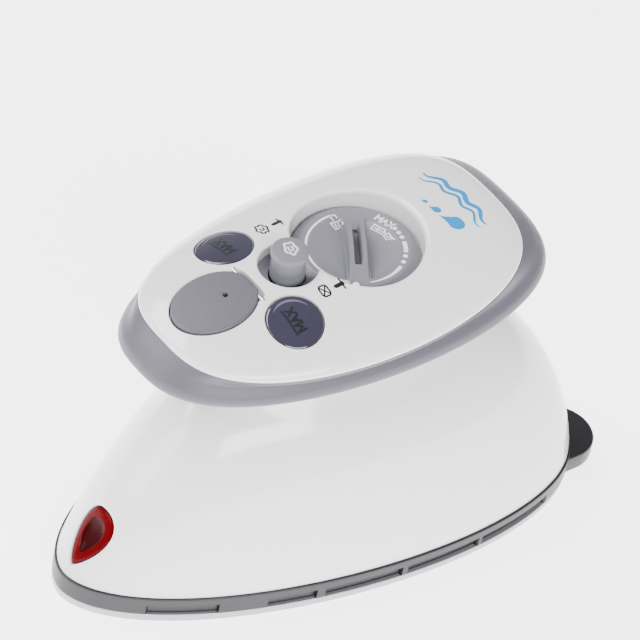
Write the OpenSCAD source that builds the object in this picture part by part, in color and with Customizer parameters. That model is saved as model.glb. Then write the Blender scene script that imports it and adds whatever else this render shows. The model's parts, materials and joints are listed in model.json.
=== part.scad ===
// Travel steam iron with a mushroom-shaped grip, in millimetres.
// +Z is up, the nose points along -X, the heel along +X, and Z = 0 is the ironing face.

/* [Soleplate] */
// Length of the ironing face
sole_l = 161.4; // [140:1:190]
// Width of the ironing face
sole_w = 81.2; // [74:1:92]
// Height of the visible edge of the soleplate
sole_edge = 2.5; // [1.8:0.1:3]
// Height of the top of the casting
casting_top = 13; // [12.6:0.1:13.5]
// Radius of a steam hole
steam_r = 1.1; // [0.8:0.1:1.3]
// Number of steam holes
steam_count = 11; // [7:2:15]

/* [Heater] */
// Radius of the tubular heater
heater_r = 3.2; // [2.6:0.1:3.4]
// Half the distance between the two heater legs
heater_bend = 15; // [13:0.5:16]
// Height of the heater's centre line
heater_z = 5.4; // [5.2:0.1:6]

/* [Skirt] */
// Top of the dark heat skirt
skirt_top = 8.5; // [8:0.1:9.5]
// Wall of the heat skirt
skirt_wall = 2.6; // [2.2:0.1:3]
// Depth of a cooling slot
slot_depth = 1.3; // [0.8:0.1:1.5]
// Height of the cooling slots above the soleplate
slot_h = 3.4; // [2.5:0.1:4]
// Radius of a heel foot
heel_r = 10.6; // [9:0.2:12]
// Half the distance between the heel feet
heel_y = 18.8; // [16:0.2:21]

/* [Body] */
// Height of the dome over the skirt
dome_h = 52; // [48:1:56]
// Wall of the body shell
wall = 2.2; // [1.6:0.1:2.6]
// Half the width of the neck
neck_b = 14.5; // [14:0.5:16]
// Radius of the hole through the cord gland
cord_r = 3.3; // [2.5:0.1:3.5]

/* [Grip] */
// Height of the grip's rim plane above the ironing face
grip_z = 91.2; // [88:0.5:96]
// Tilt of the grip towards the nose, in degrees
grip_tilt = 5.1; // [4:0.5:7]
// Half the width of the white cover
cover_b = 33.1; // [32:0.5:36]
// Rise of the cover over its edge
cover_rise = 6.9; // [6:0.1:8]
// Drop of the cover's edge at the sides
side_drop = 4.8; // [3:0.1:6]
// Wall of the cover and of the grip shell
grip_wall = 2.2; // [1.8:0.1:2.4]

/* [Controls] */
// Radius of the temperature dial
dial_r = 16.9; // [15:0.1:17.2]
// Gap between the dial and its well
dial_gap = 0.9; // [0.5:0.1:1.2]
// Height of the dial's face in the grip frame
dial_face = 1.1; // [0.5:0.1:2]
// Radius of the steam button
button_r = 4.7; // [4.2:0.1:5]
// Travel of the steam button
button_travel = 3.5; // [2.5:0.1:4]
// Length of the filler cap
cap_l = 24.2; // [22:0.2:27]
// Width of the filler cap
cap_w = 18.8; // [17:0.2:20]
// Radius of a fill window
window_r = 7.8; // [6.5:0.1:8]

/* [Fits] */
// Gap between moulded pieces
gap = 0.25; // [0.15:0.05:0.3]
// Running clearance of a shaft in its bore, on the radius
run_fit = 0.06; // [0.03:0.01:0.1]

/* [Hidden] */

$fn = 64;
eps = 0.01;
ring_n = 48;
nose_x = -83.5;
heel_x = nose_x + sole_l;
sole_b = sole_w / 2;
sole_p = 0.546;
sole_q = 0.291;
body_inset = 0.7;
casting_inset = 8;
heater_front = -28;
heater_rear = 52;
pocket_floor = 10;
pocket_rear = -12;
fillet_z = skirt_top + 0.9 * dome_h;
neck_z = fillet_z + 13;
neck_x0 = -33;
neck_x1 = 31.5;
neck_lx0 = neck_x0 - 1.4;
neck_lx1 = neck_x1 - 1.3;
cover_x0 = -64.9;
cover_x1 = 41.3;
rim_x0 = -72;
rim_x1 = 49.2;
rim_b = cover_b + 0.8;
rim_drop = 6.9;
cover_mid = (cover_x0 + cover_x1) / 2;
dial_x = -2.9;
button_x = dial_x - dial_r - button_r - 0.8;
cap_x = button_x - 23.2;
window_x = button_x - 9;
window_y = 15.6;
cap_tilt = -7;
well_r = dial_r + dial_gap;
dial_t = 4;
dial_bevel = 1.4;
dial_flat_r = dial_r - 2.5;
shaft_r = 2;
rod_r = 1.5;
button_top = 11.6;
tank_floor = -8;
tank_wall = 1.2;
tank_end = button_x + 2.8;
seat_z = -18;
rod_tip = -13.8;
dial_floor = -3.4;
button_floor = -1;
bar_turn = 58;
bar_h = 3.6;
bar_w = 5.3;
bar_start = -12.8;
bar_len = 19.5;
slot_w = 1.7;
slot_start = -8;
button_well_r = 8;
pin_r = 0.8;
pin_half = 6.9;
swing_low = 5.65;
swing_high = 6.35;
swing_step = -0.45;
pin_x = cap_l / 2 - 1.6;
pin_z = -1.1;
knuckle_r = 1.3;
cap_t = 2.2;
screw_r = 1.2;
under_z = -15.5;
gland_x = heel_x - 5.3;
gland_z = 27;
gland_tilt = 23;
gland_r = 6;
clamp_x = heel_x - 22.9;
shaft_foot = 19.2 - grip_z;
clamp_y = 9.5;
clamp_z = 19;
saddle_z = 22.6;
lens_slope = 59;
lamp_depth = 6.6;
lamp_r = 2.2;

// ---- outlines: a leaf is blunt at both ends and widest towards the heel ----
function leaf(x0, x1, b, p, q, n = ring_n) = [for (i = [0 : n - 1])
  let (a = 360 * i / n, u = (1 - cos(a)) / 2, um = p / (p + q))
  [x0 + (x1 - x0) * u, (a > 180 ? -1 : 1) * b * pow(u / um, p) * pow((1 - u) / (1 - um), q)]];
function sole_leaf(inset, n = 72) = leaf(nose_x + inset, heel_x - inset, sole_b - inset, sole_p, sole_q, n);
function sole_half(x) = let (u = (x - nose_x) / sole_l, um = sole_p / (sole_p + sole_q))
  sole_b * pow(u / um, sole_p) * pow((1 - u) / (1 - um), sole_q);
function at_z(pts, z) = [for (v = pts) [v[0], v[1], z]];
function mid(pts) = [for (k = [0 : 2]) (max([for (v = pts) v[k]]) + min([for (v = pts) v[k]])) / 2];

// A closed solid through rings of points, with a fan of triangles at each end
module loft(rings) {
  n = len(rings[0]);
  m = len(rings);
  pts = concat([for (r = rings) each r], [mid(rings[0]), mid(rings[m - 1])]);
  sides = [for (k = [0 : m - 2], i = [0 : n - 1]) let (j = (i + 1) % n)
    each [[k * n + i, k * n + j, (k + 1) * n + j], [k * n + i, (k + 1) * n + j, (k + 1) * n + i]]];
  ends = [for (i = [0 : n - 1]) let (j = (i + 1) % n)
    each [[m * n, j, i], [m * n + 1, (m - 1) * n + i, (m - 1) * n + j]]];
  // the outline runs clockwise from above, so each triangle is turned to face outwards
  polyhedron(pts, [for (t = concat(sides, ends)) t]);
}

module slab(inset, z0, z1) {
  translate([0, 0, z0]) linear_extrude(z1 - z0) polygon(sole_leaf(inset));
}

module rod(r, z0, z1) {
  translate([0, 0, z0]) cylinder(r = r, h = z1 - z0);
}

module tube(ro, ri, z0, z1) {
  difference() {
    rod(ro, z0, z1);
    rod(ri, z0 - 1, z1 + 1);
  }
}

// ---- body: sections shrink like a superellipse, then sweep up into the neck ----
function draw_in(v, d, m, n) = d * (1 - pow(1 - pow(max(0, min(v, 1)), m), 1 / n));
function draw_slope(v, d, m, n) = d / n * pow(1 - pow(v, m), 1 / n - 1) * m * pow(v, m - 1) / dome_h;
// half size at height z: a dome that meets a neck of half size s at neck_z
function sweep_in(z, full, d, m, n, s) = let (h = neck_z - fillet_z, a = full - draw_in(0.9, d, m, n) - s)
  z < fillet_z ? full - draw_in((z - skirt_top) / dome_h, d, m, n)
  : s + a * pow(max(0, 1 - (z - fillet_z) / h), draw_slope(0.9, d, m, n) * h / a);
function body_ring(z, inset) = let (t = min(1, (z - skirt_top) / (neck_z - skirt_top)))
  at_z(leaf(-sweep_in(z, -nose_x - body_inset, 53, 0.95, 2.1, -neck_x0) + inset,
    sweep_in(z, heel_x - body_inset, 46, 1.6, 2, neck_x1) - inset,
    sweep_in(z, sole_b - body_inset, 28, 1.6, 1.9, neck_b) - inset,
    sole_p + (0.45 - sole_p) * t, sole_q + (0.42 - sole_q) * t), z);
function body_levels(z0, z1) = concat([z0], [for (k = [1 : 15]) skirt_top + dome_h * 0.9 * sin(6 * k)],
  [for (k = [1 : 5]) fillet_z + (neck_z - fillet_z) * k / 5], [z1]);

module body_solid(inset, z0, z1) {
  loft([for (z = body_levels(z0, z1)) body_ring(z, inset)]);
}

// ---- grip frame: origin over the middle, turned down towards the nose ----
module in_grip() {
  translate([0, 0, grip_z]) rotate([0, -grip_tilt, 0]) children();
}

function cover_ring(r, inset, drop) = [for (v = leaf(cover_x0 + inset, cover_x1 - inset, cover_b - inset,
    0.357, 0.279)) [cover_mid + (v[0] - cover_mid) * r, v[1] * r,
    -side_drop * pow(v[1] * r / cover_b, 2) + cover_rise * pow(1 - pow(r, 2), 0.546) - drop]];
function cover_top(x) = cover_rise * pow(1 - pow((x - cover_mid) / (cover_x1 - cover_mid), 2), 0.546);
function neck_ring(grow, z) = at_z(leaf(neck_lx0 - grow, neck_lx1 + grow, neck_b + grow, 0.45, 0.42), z);
function rim_ring(inset, z, bend) = [for (v = leaf(rim_x0 + inset, rim_x1 - inset, rim_b - inset, 0.385, 0.25))
  [v[0], v[1], z - side_drop * bend * pow(v[1] / rim_b, 2)]];

// The dome of the cover over a foot that stands inside the bowl
module cover_solid(inset, foot_inset, drop, foot) {
  loft(concat([cover_ring(1, foot_inset, foot), cover_ring(1, foot_inset, drop)],
    [for (k = [0 : 8]) cover_ring(cos(10 * k), inset, drop)], [cover_ring(0.08, inset, drop)]));
}

// The grey bowl under the cover
module bowl_solid(t, top) {
  loft([neck_ring(2 - t, under_z + t), neck_ring(4 - t, under_z + 0.4 + t), rim_ring(12 + t, -13 + t, 0.4),
    rim_ring(5 + t, -11.2 + t, 0.75), rim_ring(1.6 + t, -9.3 + 0.9 * t, 0.93), rim_ring(t, -rim_drop + 0.4 * t, 1),
    rim_ring(0.3 + t, -rim_drop + 1.2 + 0.4 * t, 1), cover_ring(1, 1.2 * t, -top)]);
}

module cap_outline(grow) {
  polygon(leaf(-cap_l / 2 - grow, cap_l / 2 + grow, cap_w / 2 + grow, 0.5, 0.5, 64));
}

module at_cap() {
  in_grip() translate([cap_x, 0, cover_top(cap_x)]) rotate([0, cap_tilt, 0]) children();
}

module at_window(side) {
  in_grip() translate([window_x, side * window_y, 4.35]) rotate([-side * 15, -3, 0]) children();
}

// ---- soleplate and heater ----
module heater_path(r) {
  for (s = [-1, 1]) translate([heater_front, s * heater_bend, heater_z]) rotate([0, 90, 0])
    cylinder(r = r, h = heater_rear - heater_front);
  translate([heater_front, 0, heater_z]) rotate([0, 0, 90]) rotate_extrude(angle = 180)
    translate([heater_bend, 0]) circle(r = r);
}

module soleplate() color([0.69, 0.68, 0.71]) difference() {
  union() {
    slab(0.2, 0, sole_edge);
    slab(casting_inset, sole_edge - 1, casting_top);
  }
  intersection() {
    slab(casting_inset + 2.5, pocket_floor, casting_top + 1);
    translate([-100, -50, 0]) cube([100 + pocket_rear, 100, 40]);
  }
  heater_path(heater_r + 0.05);
  for (s = [-1, 1]) translate([heater_rear - 3, s * heater_bend - 5.5, sole_edge]) cube([13, 11, 20]);
  steam_points() translate([0, 0, -1]) cylinder(r = steam_r, h = casting_top);
  chamber_places() translate([0, 0, casting_top - 4]) cylinder(r = 1.25, h = 10);
  thermostat_places() translate([0, 0, casting_top - 4]) cylinder(r = 1.25, h = 10);
  clamp_places() translate([0, 0, casting_top - 6]) cylinder(r = 1.5, h = 10);
}

module steam_points() {
  half = floor(steam_count / 2);
  for (k = [-half : half]) let (a = 180 * pow(abs(k) / (half + 1.5), 0.85) * 0.62, u = (1 - cos(a)) / 2,
    um = sole_p / (sole_p + sole_q), i = casting_inset + 5.8)
    translate([nose_x + i + (sole_l - 2 * i) * u,
      sign(k) * (sole_b - i) * pow(u / um, sole_p) * pow((1 - u) / (1 - um), sole_q), 0]) children();
}

module chamber_places() {
  for (v = [[-59, 0], [pocket_rear + 4, -23], [pocket_rear + 4, 23], [-40, 0]]) translate([v[0], v[1], 0]) children();
}

module thermostat_places() {
  for (s = [-1, 1]) translate([5, s * 11.5, 0]) children();
}

module clamp_places() {
  for (v = [[clamp_x + 6, 0], [30, 27], [30, -27]]) translate([v[0], v[1], 0]) children();
}

module heating_element() color([0.45, 0.44, 0.43]) {
  heater_path(heater_r);
  for (s = [-1, 1]) translate([heater_rear - eps, s * heater_bend, heater_z]) rotate([0, 90, 0])
    cylinder(r = 1.1, h = 5);
}

module element_tabs() color([0.75, 0.72, 0.62]) for (s = [-1, 1]) difference() {
  union() {
    translate([heater_rear + 2, s * heater_bend - 2.2, heater_z - 2.4]) cube([0.8, 4.4, 11]);
    translate([heater_rear + 2, s * heater_bend, heater_z]) rotate([0, 90, 0]) cylinder(r = 2.2, h = 2.4);
  }
  translate([heater_rear, s * heater_bend, heater_z]) rotate([0, 90, 0]) cylinder(r = 1.15, h = 9);
}

module chamber_plate(inset, z0, z1) intersection() {
  slab(casting_inset + inset, z0, z1);
  translate([-100, -50, 0]) cube([100 + pocket_rear + 8, 100, 40]);
}

module chamber_gasket() color([0.75, 0.25, 0.2]) difference() {
  chamber_plate(0.5, casting_top, casting_top + 0.4);
  intersection() {
    slab(casting_inset + 2.5, 0, 40);
    translate([-100, -50, 0]) cube([100 + pocket_rear, 100, 40]);
  }
  chamber_places() cylinder(r = 1.8, h = 40);
}

module chamber_cover() color([0.72, 0.72, 0.74]) difference() {
  chamber_plate(0.5, casting_top + 0.4, casting_top + 1.4);
  chamber_places() cylinder(r = 1.7, h = 40);
  in_grip() translate([button_x, 0, 1 - grip_z]) cylinder(r = 3.6, h = 40);
}

module screw(r, head_r, head_h, length) {
  rod(r, -length, eps);
  difference() {
    rod(head_r, 0, head_h);
    translate([0, 0, head_h - 0.7]) for (a = [0, 90]) rotate([0, 0, a])
      translate([-head_r * 0.6, -0.35, 0]) cube([head_r * 1.2, 0.7, 2]);
  }
}

module chamber_screws() color([0.6, 0.6, 0.62]) chamber_places() translate([0, 0, casting_top + 1.4])
  screw(1.2, 2.6, 1.5, 5);

// ---- thermostat on the dial's axis ----
module thermostat() color([0.85, 0.83, 0.78]) difference() {
  union() {
    translate([-3, -15, casting_top]) cube([19, 30, 1.5]);
    translate([-1, -5, casting_top + 1]) cube([12, 10, 4]);
    in_grip() translate([dial_x, 0, shaft_foot - 3.5]) cylinder(r = 4, h = 10);
  }
  in_grip() translate([dial_x, 0, shaft_foot - 0.5]) cylinder(r = shaft_r + run_fit, h = 20);
  thermostat_places() cylinder(r = 1.6, h = 60);
  translate([-20, -20, -5]) cube([60, 40, casting_top + 5]);
}

module thermostat_screws() color([0.6, 0.6, 0.62]) thermostat_places() translate([0, 0, casting_top + 1.5])
  screw(1.2, 2.6, 1.5, 5);

module thermal_fuse() color([0.9, 0.89, 0.85]) {
  translate([22, -6, casting_top + 2.6]) rotate([-90, 0, 0]) cylinder(r = 2.6, h = 12);
  for (s = [-1, 1]) translate([22, s * 6 - (s < 0 ? 5 : 0), casting_top + 2.6]) rotate([-90, 0, 0])
    cylinder(r = 0.6, h = 5);
}

module heat_shield() color([0.8, 0.78, 0.7]) difference() {
  intersection() {
    slab(14, 20.5, 21.3);
    translate([-52, -50, 0]) cube([92, 100, 40]);
  }
  translate([-12, -15, 0]) cube([38, 30, 60]);
  in_grip() translate([button_x, 0, 1 - grip_z]) cylinder(r = 6, h = 60);
}

// ---- heat skirt ----
module slot_boxes() {
  starts = [-68.5, -37.8, -21.5, 3.8, 29.2];
  ends = [-50.8, -24, 2.1, 28.1, 55.7];
  for (s = [-1, 1], k = [0 : 4]) translate([starts[k], s * 30 - 30, sole_edge - 1]) cube([ends[k] - starts[k], 60,
    slot_h + 1]);
}

module heat_skirt() color([0.24, 0.23, 0.27]) difference() {
  union() {
    slab(0, sole_edge, skirt_top);
    for (s = [-1, 1]) hull() {
      translate([heel_x - 4.9, s * heel_y, sole_edge]) cylinder(r = heel_r, h = 5.5, $fn = 64);
      translate([heel_x - 14, s * heel_y, sole_edge]) cylinder(r = heel_r, h = 5.5, $fn = 64);
    }
  }
  slab(skirt_wall, sole_edge - 1, skirt_top - 2);
  slab(6, sole_edge - 1, skirt_top + 1);
  body_places() rod(screw_r + 0.05, skirt_top - 3, skirt_top + 1);
  difference() {
    intersection() {
      slab(-5, sole_edge - 1, sole_edge + slot_h);
      slot_boxes();
    }
    slab(slot_depth, sole_edge - 2, skirt_top);
  }
}

module body_screws() color([0.6, 0.6, 0.62]) body_places() translate([0, 0, skirt_top - 2]) mirror([0, 0, 1])
  screw(screw_r, 1.7, 1.2, 6.5);

// ---- body ----
module lens_drop(grow) {
  hull() {
    translate([-2.6, 0]) circle(r = 6.7 + grow, $fn = 48);
    translate([9.6, 0]) circle(r = 1.2 + grow, $fn = 24);
  }
}

module at_lens() {
  translate([-72.1, 0, 21.2]) rotate([0, -lens_slope, 0]) mirror([1, 0, 0]) children();
}

module at_plug(side, rear) {
  if (rear) translate([40.4, side * 26.8, 42.9]) rotate([-side * 52, 12, 0]) children();
  else translate([-64.1, side * 14.8, 26.5]) rotate([-side * 44, -38, 0]) children();
}

module each_plug() {
  for (side = [-1, 1], rear = [false, true]) at_plug(side, rear) children();
}

module body_places() {
  for (s = [-1, 1], v = [[heel_x - 13.9, 6.5], [-40, 4.6]]) translate([v[0], s * (sole_half(v[0]) - v[1]), 0]) children();
}

module neck_places() {
  for (v = [[25, 0], [-10, 10], [-10, -10]]) translate([v[0], v[1], under_z]) children();
}

module neck_opening(grow) {
  translate([0, 0, under_z - 10]) linear_extrude(30) polygon(leaf(-21 - grow, 19.5 + grow, 6.6 + grow, 0.45, 0.42));
  translate([button_x, 0, under_z - 10]) cylinder(r = 4.6, h = 30);
}

module body_shell() color([0.95, 0.95, 0.94]) difference() {
  union() {
    difference() {
      body_solid(0, skirt_top, grip_z + 4);
      difference() {
        body_solid(wall, skirt_top - 1, grip_z + 5);
        body_places() rod(2.05, skirt_top - 2, 15.5);
        clamp_posts() rod(2.6, 4, 40);
      }
    }
    body_lip();
  }
  body_places() rod(screw_r + 0.05, 0, 13.5);
  clamp_posts() rod(screw_r + 0.05, 2, 10);
  at_lens() translate([0, 0, -6]) linear_extrude(20) lens_drop(gap);
  at_gland() rod(gland_r + gap, -12, 12);
  each_plug() translate([0, 0, -1.2]) cylinder(r = 4.4 + gap / 2, h = 9);
  in_grip() translate([-120, -60, under_z]) cube([240, 120, 40]);
}

// The inner lip that the neck screws pass through
module body_lip() {
  in_grip() difference() {
    translate([0, 0, under_z - 2.5]) linear_extrude(2.6) polygon(leaf(neck_lx0 + 1, neck_lx1 - 1, neck_b - 1, 0.45, 0.42));
    neck_opening(0);
    neck_places() translate([0, 0, -9]) cylinder(r = screw_r + 0.05, h = 20);
  }
}

module side_plugs() color([0.93, 0.93, 0.92]) intersection() {
  each_plug() translate([0, 0, -1.1]) cylinder(r = 4.4, h = 7);
  body_solid(0.05, skirt_top, grip_z + 4);
}

module indicator_lens() color([0.7, 0.05, 0.1]) intersection() {
  at_lens() translate([0, 0, -6]) linear_extrude(20) lens_drop(0);
  difference() {
    body_solid(0.5, skirt_top, grip_z + 4);
    body_solid(wall + 0.8, skirt_top - 1, grip_z + 5);
  }
}

module indicator_lamp() color([0.95, 0.6, 0.4]) at_lens() translate([0, 0, -lamp_depth]) {
  translate([-9, 0, 0]) rotate([0, 90, 0]) cylinder(r = lamp_r, h = 9);
  sphere(r = lamp_r);
}

module lamp_holder() color([0.85, 0.85, 0.83]) at_lens() difference() {
  translate([-8.5, -4.5, -lamp_depth - 2.8]) cube([5.5, 9, 2.8]);
  translate([-10, 0, -lamp_depth]) rotate([0, 90, 0]) cylinder(r = lamp_r + 0.05, h = 14);
}

// ---- wiring and cord entry ----
// A lead: an octagonal ring at each point, square to the way the lead runs there
function along(points, k) = let (n = len(points), d = points[min(k + 1, n - 1)] - points[max(k - 1, 0)]) d / norm(d);
function across(d) = let (c = abs(d[2]) > 0.9 ? cross([0, 1, 0], d) : cross([0, 0, 1], d)) c / norm(c);
module wire(r, points) {
  loft([for (k = [0 : len(points) - 1]) let (d = along(points, k), a = across(d), b = cross(d, a))
    [for (i = [0 : 7]) points[k] + r * (cos(-45 * i) * a + sin(-45 * i) * b)]]);
}

module terminal_block() color([0.92, 0.9, 0.82]) difference() {
  translate([40, -12, 24.5]) cube([8, 24, 9]);
  for (y = [-7.5, 0, 7.5]) {
    translate([38, y, 29]) rotate([0, 90, 0]) cylinder(r = 1.6, h = 14);
    translate([44, y, 31]) cylinder(r = 1.9, h = 5);
  }
}

module internal_leads() color([0.75, 0.1, 0.1]) {
  for (s = [-1, 1]) wire(1, [[43, s * 7.5, 29], [35, s * 7.5, 29], [33, s * 14, 27], [48, s * (heater_bend + 2), 23],
    [heater_rear + 3.9, s * (heater_bend + 0.4), 18],
    [heater_rear + 3.9, s * heater_bend, 12]]);
  wire(1, [[43, 0, 29], [34, 0, 29], [26, 4, 29], [22, 10, 26], [22, 10, 17.4]]);
  wire(0.9, [[30, 16, 36], [-20, 14, 36], [-48, 6, 31], [-60.2, 0.5, 27.6]]);
}

module earth_tab() color([0.78, 0.75, 0.6]) difference() {
  union() {
    translate([clamp_x + 2, -3, casting_top]) cube([8, 6, 0.8]);
    translate([clamp_x + 2, -3, casting_top]) cube([0.8, 6, 2]);
  }
  clamp_places() rod(1.6, 0, 30);
}

module sole_clamps() color([0.7, 0.7, 0.72]) clamp_places() translate([0, 0, casting_top + 0.8])
  screw(1.4, 2.6, 1.5, 5.5);

// The cord's entry: Z points out of the heel
module at_gland() {
  translate([gland_x, 0, gland_z]) rotate([0, 90 - gland_tilt, 0]) children();
}

module cord_gland() color([0.3, 0.3, 0.33]) at_gland() difference() {
  union() {
    rod(gland_r, -8, 0.8);
    rod(gland_r + 1.4, -5.6, -3.8);
  }
  rod(cord_r, -20, 20);
}

// A saddle that presses the cord, screwed to two bosses of the body
module cord_clamp() color([0.85, 0.83, 0.8]) difference() {
  translate([clamp_x, -clamp_y - 3, clamp_z - 3.5]) cube([3.8, 2 * clamp_y + 6, saddle_z - clamp_z + 3.5]);
  translate([clamp_x - 1, 0, saddle_z + 0.6]) rotate([0, 90, 0]) cylinder(r = cord_r, h = 8);
  clamp_posts() cylinder(r = screw_r + 0.05, h = 20);
}

// Places of the clamp's screws, looking along +X from the clamp's front face
module clamp_posts() {
  for (s = [-1, 1]) translate([clamp_x, s * clamp_y, clamp_z]) rotate([0, 90, 0]) children();
}

module cord_clamp_screws() color([0.6, 0.6, 0.62]) clamp_posts() mirror([0, 0, 1]) screw(screw_r, 1.9, 1.2, 9);

// ---- grip ----
module cover_places() {
  for (v = [[37.5, 0], [-20, 25], [-20, -25]]) translate([v[0], v[1], 0]) children();
}

module grip_shell() color([0.58, 0.57, 0.62]) in_grip() difference() {
  bowl_solid(0, -0.15);
  difference() {
    bowl_solid(grip_wall, 1);
    cover_places() rod(4, -16, -6);
  }
  neck_opening(0);
  neck_places() translate([0, 0, -1]) cylinder(r = screw_r + 0.05, h = 6);
  cover_places() rod(2.9, -25, -9);
  cover_places() rod(1.6, -10, 0);
}

module neck_screws() color([0.6, 0.6, 0.62]) in_grip() neck_places() translate([0, 0, grip_wall])
  screw(screw_r, 2.4, 1.4, 5);

module top_cover() color([0.96, 0.96, 0.95]) {
  difference() {
    in_grip() difference() {
      cover_solid(0, 3.2, 0, 5.5);
      difference() {
        cover_solid(4.6, 5.2, grip_wall, 8);
        rod_at(dial_x, 0, well_r + 1.6, dial_floor - 1.6);
        rod_at(button_x, 0, button_well_r + 1.4, button_floor - 1.6);
        for (s = [-1, 1]) translate([window_x, s * window_y, 4.35]) rotate([-s * 15, -3, 0])
          rod(window_r + gap + 1.4, -4.6, 12);
        translate([cap_x, 0, cover_top(cap_x)]) rotate([0, cap_tilt, 0]) translate([0, 0, -4.6])
          linear_extrude(14) cap_outline(gap + 1.4);
        cover_places() rod(3.2, -5.8, 12);
      }
      rod_at(dial_x, 0, well_r, dial_floor);
      rod_at(dial_x, 0, 5, -20);
      rod_at(button_x, 0, button_well_r, button_floor);
      rod_at(button_x, 0, 3.4, -20);
      cover_places() rod(screw_r + 0.05, -20, -1.5);
      cover_places() rod(9, -20, -5.8);
    }
    for (s = [-1, 1]) at_window(s) {
      rod(window_r + gap, -2.9, 12);
      rod(window_r - 1.2, -12, 12);
    }
    at_cap() {
      translate([0, 0, -cap_t - 0.3]) linear_extrude(12) cap_outline(gap);
      translate([-1, 0, -12]) cylinder(r = 7, h = 20);
      translate([pin_x, -pin_half - 0.1, pin_z]) rotate([-90, 0, 0])
        cylinder(r = pin_r + 0.02, h = 2 * pin_half + 0.2);
      translate([pin_x, -swing_low, -cap_t - 0.3]) cube([1.6 + gap + 0.05, 2 * swing_low, 12]);
      translate([pin_x, -swing_high, swing_step]) cube([1.6 + gap + 0.05, 2 * swing_high, 12]);
    }
  }
}

module rod_at(x, y, r, z0) {
  translate([x, y, z0]) cylinder(r = r, h = 14 - z0);
}

module cover_screws() color([0.6, 0.6, 0.62]) in_grip() cover_places() translate([0, 0, -9]) mirror([0, 0, 1])
  screw(screw_r, 2.6, 1.6, 7);

module fill_window(side) color([0.32, 0.29, 0.4]) intersection() {
  at_window(side) rod(window_r, -2.8, 12);
  in_grip() cover_solid(0.3, 3.2, 0.2, 8);
}

module fill_window_left() fill_window(1);
module fill_window_right() fill_window(-1);

module window_seals() color([0.2, 0.2, 0.22]) for (s = [-1, 1]) at_window(s) tube(window_r - 1.3, window_r - 2.7, -4.4, -2.85);

// ---- water ----
module tank_block(t) {
  intersection() {
    translate([0, 0, tank_floor - 1]) linear_extrude(20)
      polygon(leaf(cover_x0 + 8 + t, cover_x1 - 8 - t, cover_b - 8 - t, 0.357, 0.279));
    union() {
      translate([-60, -17 + t, tank_floor + t]) cube([24.8 - t, 34 - 2 * t, 6.4 - 2 * t]);
      translate([-40, -10 + t, tank_floor + t]) cube([40 + tank_end - t, 20 - 2 * t, 4.4 - 2 * t]);
    }
  }
}

module water_tank() color([0.75, 0.78, 0.85]) difference() {
  in_grip() difference() {
    union() {
      tank_block(0);
      translate([button_x, 0, tank_floor]) cylinder(r = 2.75, h = 6);
    }
    difference() {
      tank_block(tank_wall);
      translate([button_x, 0, tank_floor + 4.4 - 3]) cylinder(r = 2.75, h = 6);
    }
    translate([button_x, 0, tank_floor - 1]) cylinder(r = rod_r + run_fit, h = 20);
  }
  at_cap() translate([-1, 0, -12]) cylinder(r = 5.6, h = 20);
}

module filler_seal() color([0.25, 0.25, 0.27]) at_cap() translate([-1, 0, 0]) tube(6.9, 5.6, -5.45, -4.65);

module valve_body() color([0.8, 0.8, 0.82]) in_grip() translate([button_x, 0, 0]) difference() {
  rod(4, seat_z - 2, tank_floor - 0.1);
  rod(rod_r + 0.9, seat_z, 0);
  rod(0.9, seat_z - 4, 0);
}

module needle_rod() color([0.8, 0.8, 0.82]) in_grip() translate([button_x, 0, 0]) {
  rod(rod_r, rod_tip + 1.2, button_floor + 3);
  translate([0, 0, rod_tip]) cylinder(r1 = 0.5, r2 = rod_r, h = 1.21);
}

module drip_nozzle() color([0.85, 0.85, 0.86]) in_grip() translate([button_x, 0, 0]) tube(3, 1.4, shaft_foot - 4, seat_z - 2.1);

module valve_seal() color([0.7, 0.3, 0.25]) in_grip() translate([button_x, 0, 0]) tube(5.4, 3.06, shaft_foot - 2, shaft_foot - 0.6);

module needle_spring() color([0.7, 0.7, 0.72]) in_grip() translate([button_x, 0, 0]) {
  turns = 4;
  z0 = tank_floor + 6 + 0.35;
  z1 = button_floor + 3.2;
  loft([for (k = [0 : turns * 14]) let (a = k * 360 / 14, z = z0 + (z1 - z0) * k / (turns * 14))
    [for (i = [0 : 7]) let (b = -i * 45) [(2.5 + 0.28 * cos(b)) * cos(a), (2.5 + 0.28 * cos(b)) * sin(a), z + 0.28 * sin(b)]]]);
}

// ---- controls ----
module filler_cap() color([0.57, 0.57, 0.6]) at_cap() difference() {
  union() {
    intersection() {
      translate([0, 0, -cap_t]) linear_extrude(cap_t + 0.3) cap_outline(0);
      union() {
        translate([-cap_l, -cap_l, -9]) cube([cap_l + pin_x, 2 * cap_l, 18]);
        translate([pin_x, -cap_l, pin_z]) rotate([-90, 0, 0]) cylinder(r = knuckle_r, h = 2 * cap_l);
      }
    }
    translate([-1, 0, -cap_t - 1.4]) cylinder(r = 6.2, h = 2);
  }
  translate([3.4, 0, -20]) cylinder(r = 0.7, h = 40);
  translate([pin_x, -6, pin_z]) rotate([-90, 0, 0]) cylinder(r = pin_r + run_fit, h = 12);
}

module filler_plug() color([0.35, 0.35, 0.37]) at_cap() difference() {
  translate([-1, 0, -cap_t - 3.6]) cylinder(r1 = 5, r2 = 5.4, h = 2.2);
  translate([3.4, 0, -20]) cylinder(r = 0.7, h = 40);
}

module cap_hinge_pin() color([0.75, 0.75, 0.77]) at_cap() translate([pin_x, -pin_half, pin_z]) rotate([-90, 0, 0])
  cylinder(r = pin_r, h = 2 * pin_half);

module steam_button() color([0.58, 0.58, 0.61]) in_grip() translate([button_x, 0, 0]) difference() {
  rod(button_r, button_floor + 3.6, button_top);
  rod(rod_r + 1.6, 0, 4);
}

module button_collar() color([0.5, 0.5, 0.54]) in_grip() translate([button_x, 0, 0])
  difference() {
    tube(button_well_r - gap, button_r + 0.3, button_floor, 3.4);
    translate([dial_x - button_x, 0, button_floor - 1]) cylinder(r = well_r, h = 20);
  }

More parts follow.
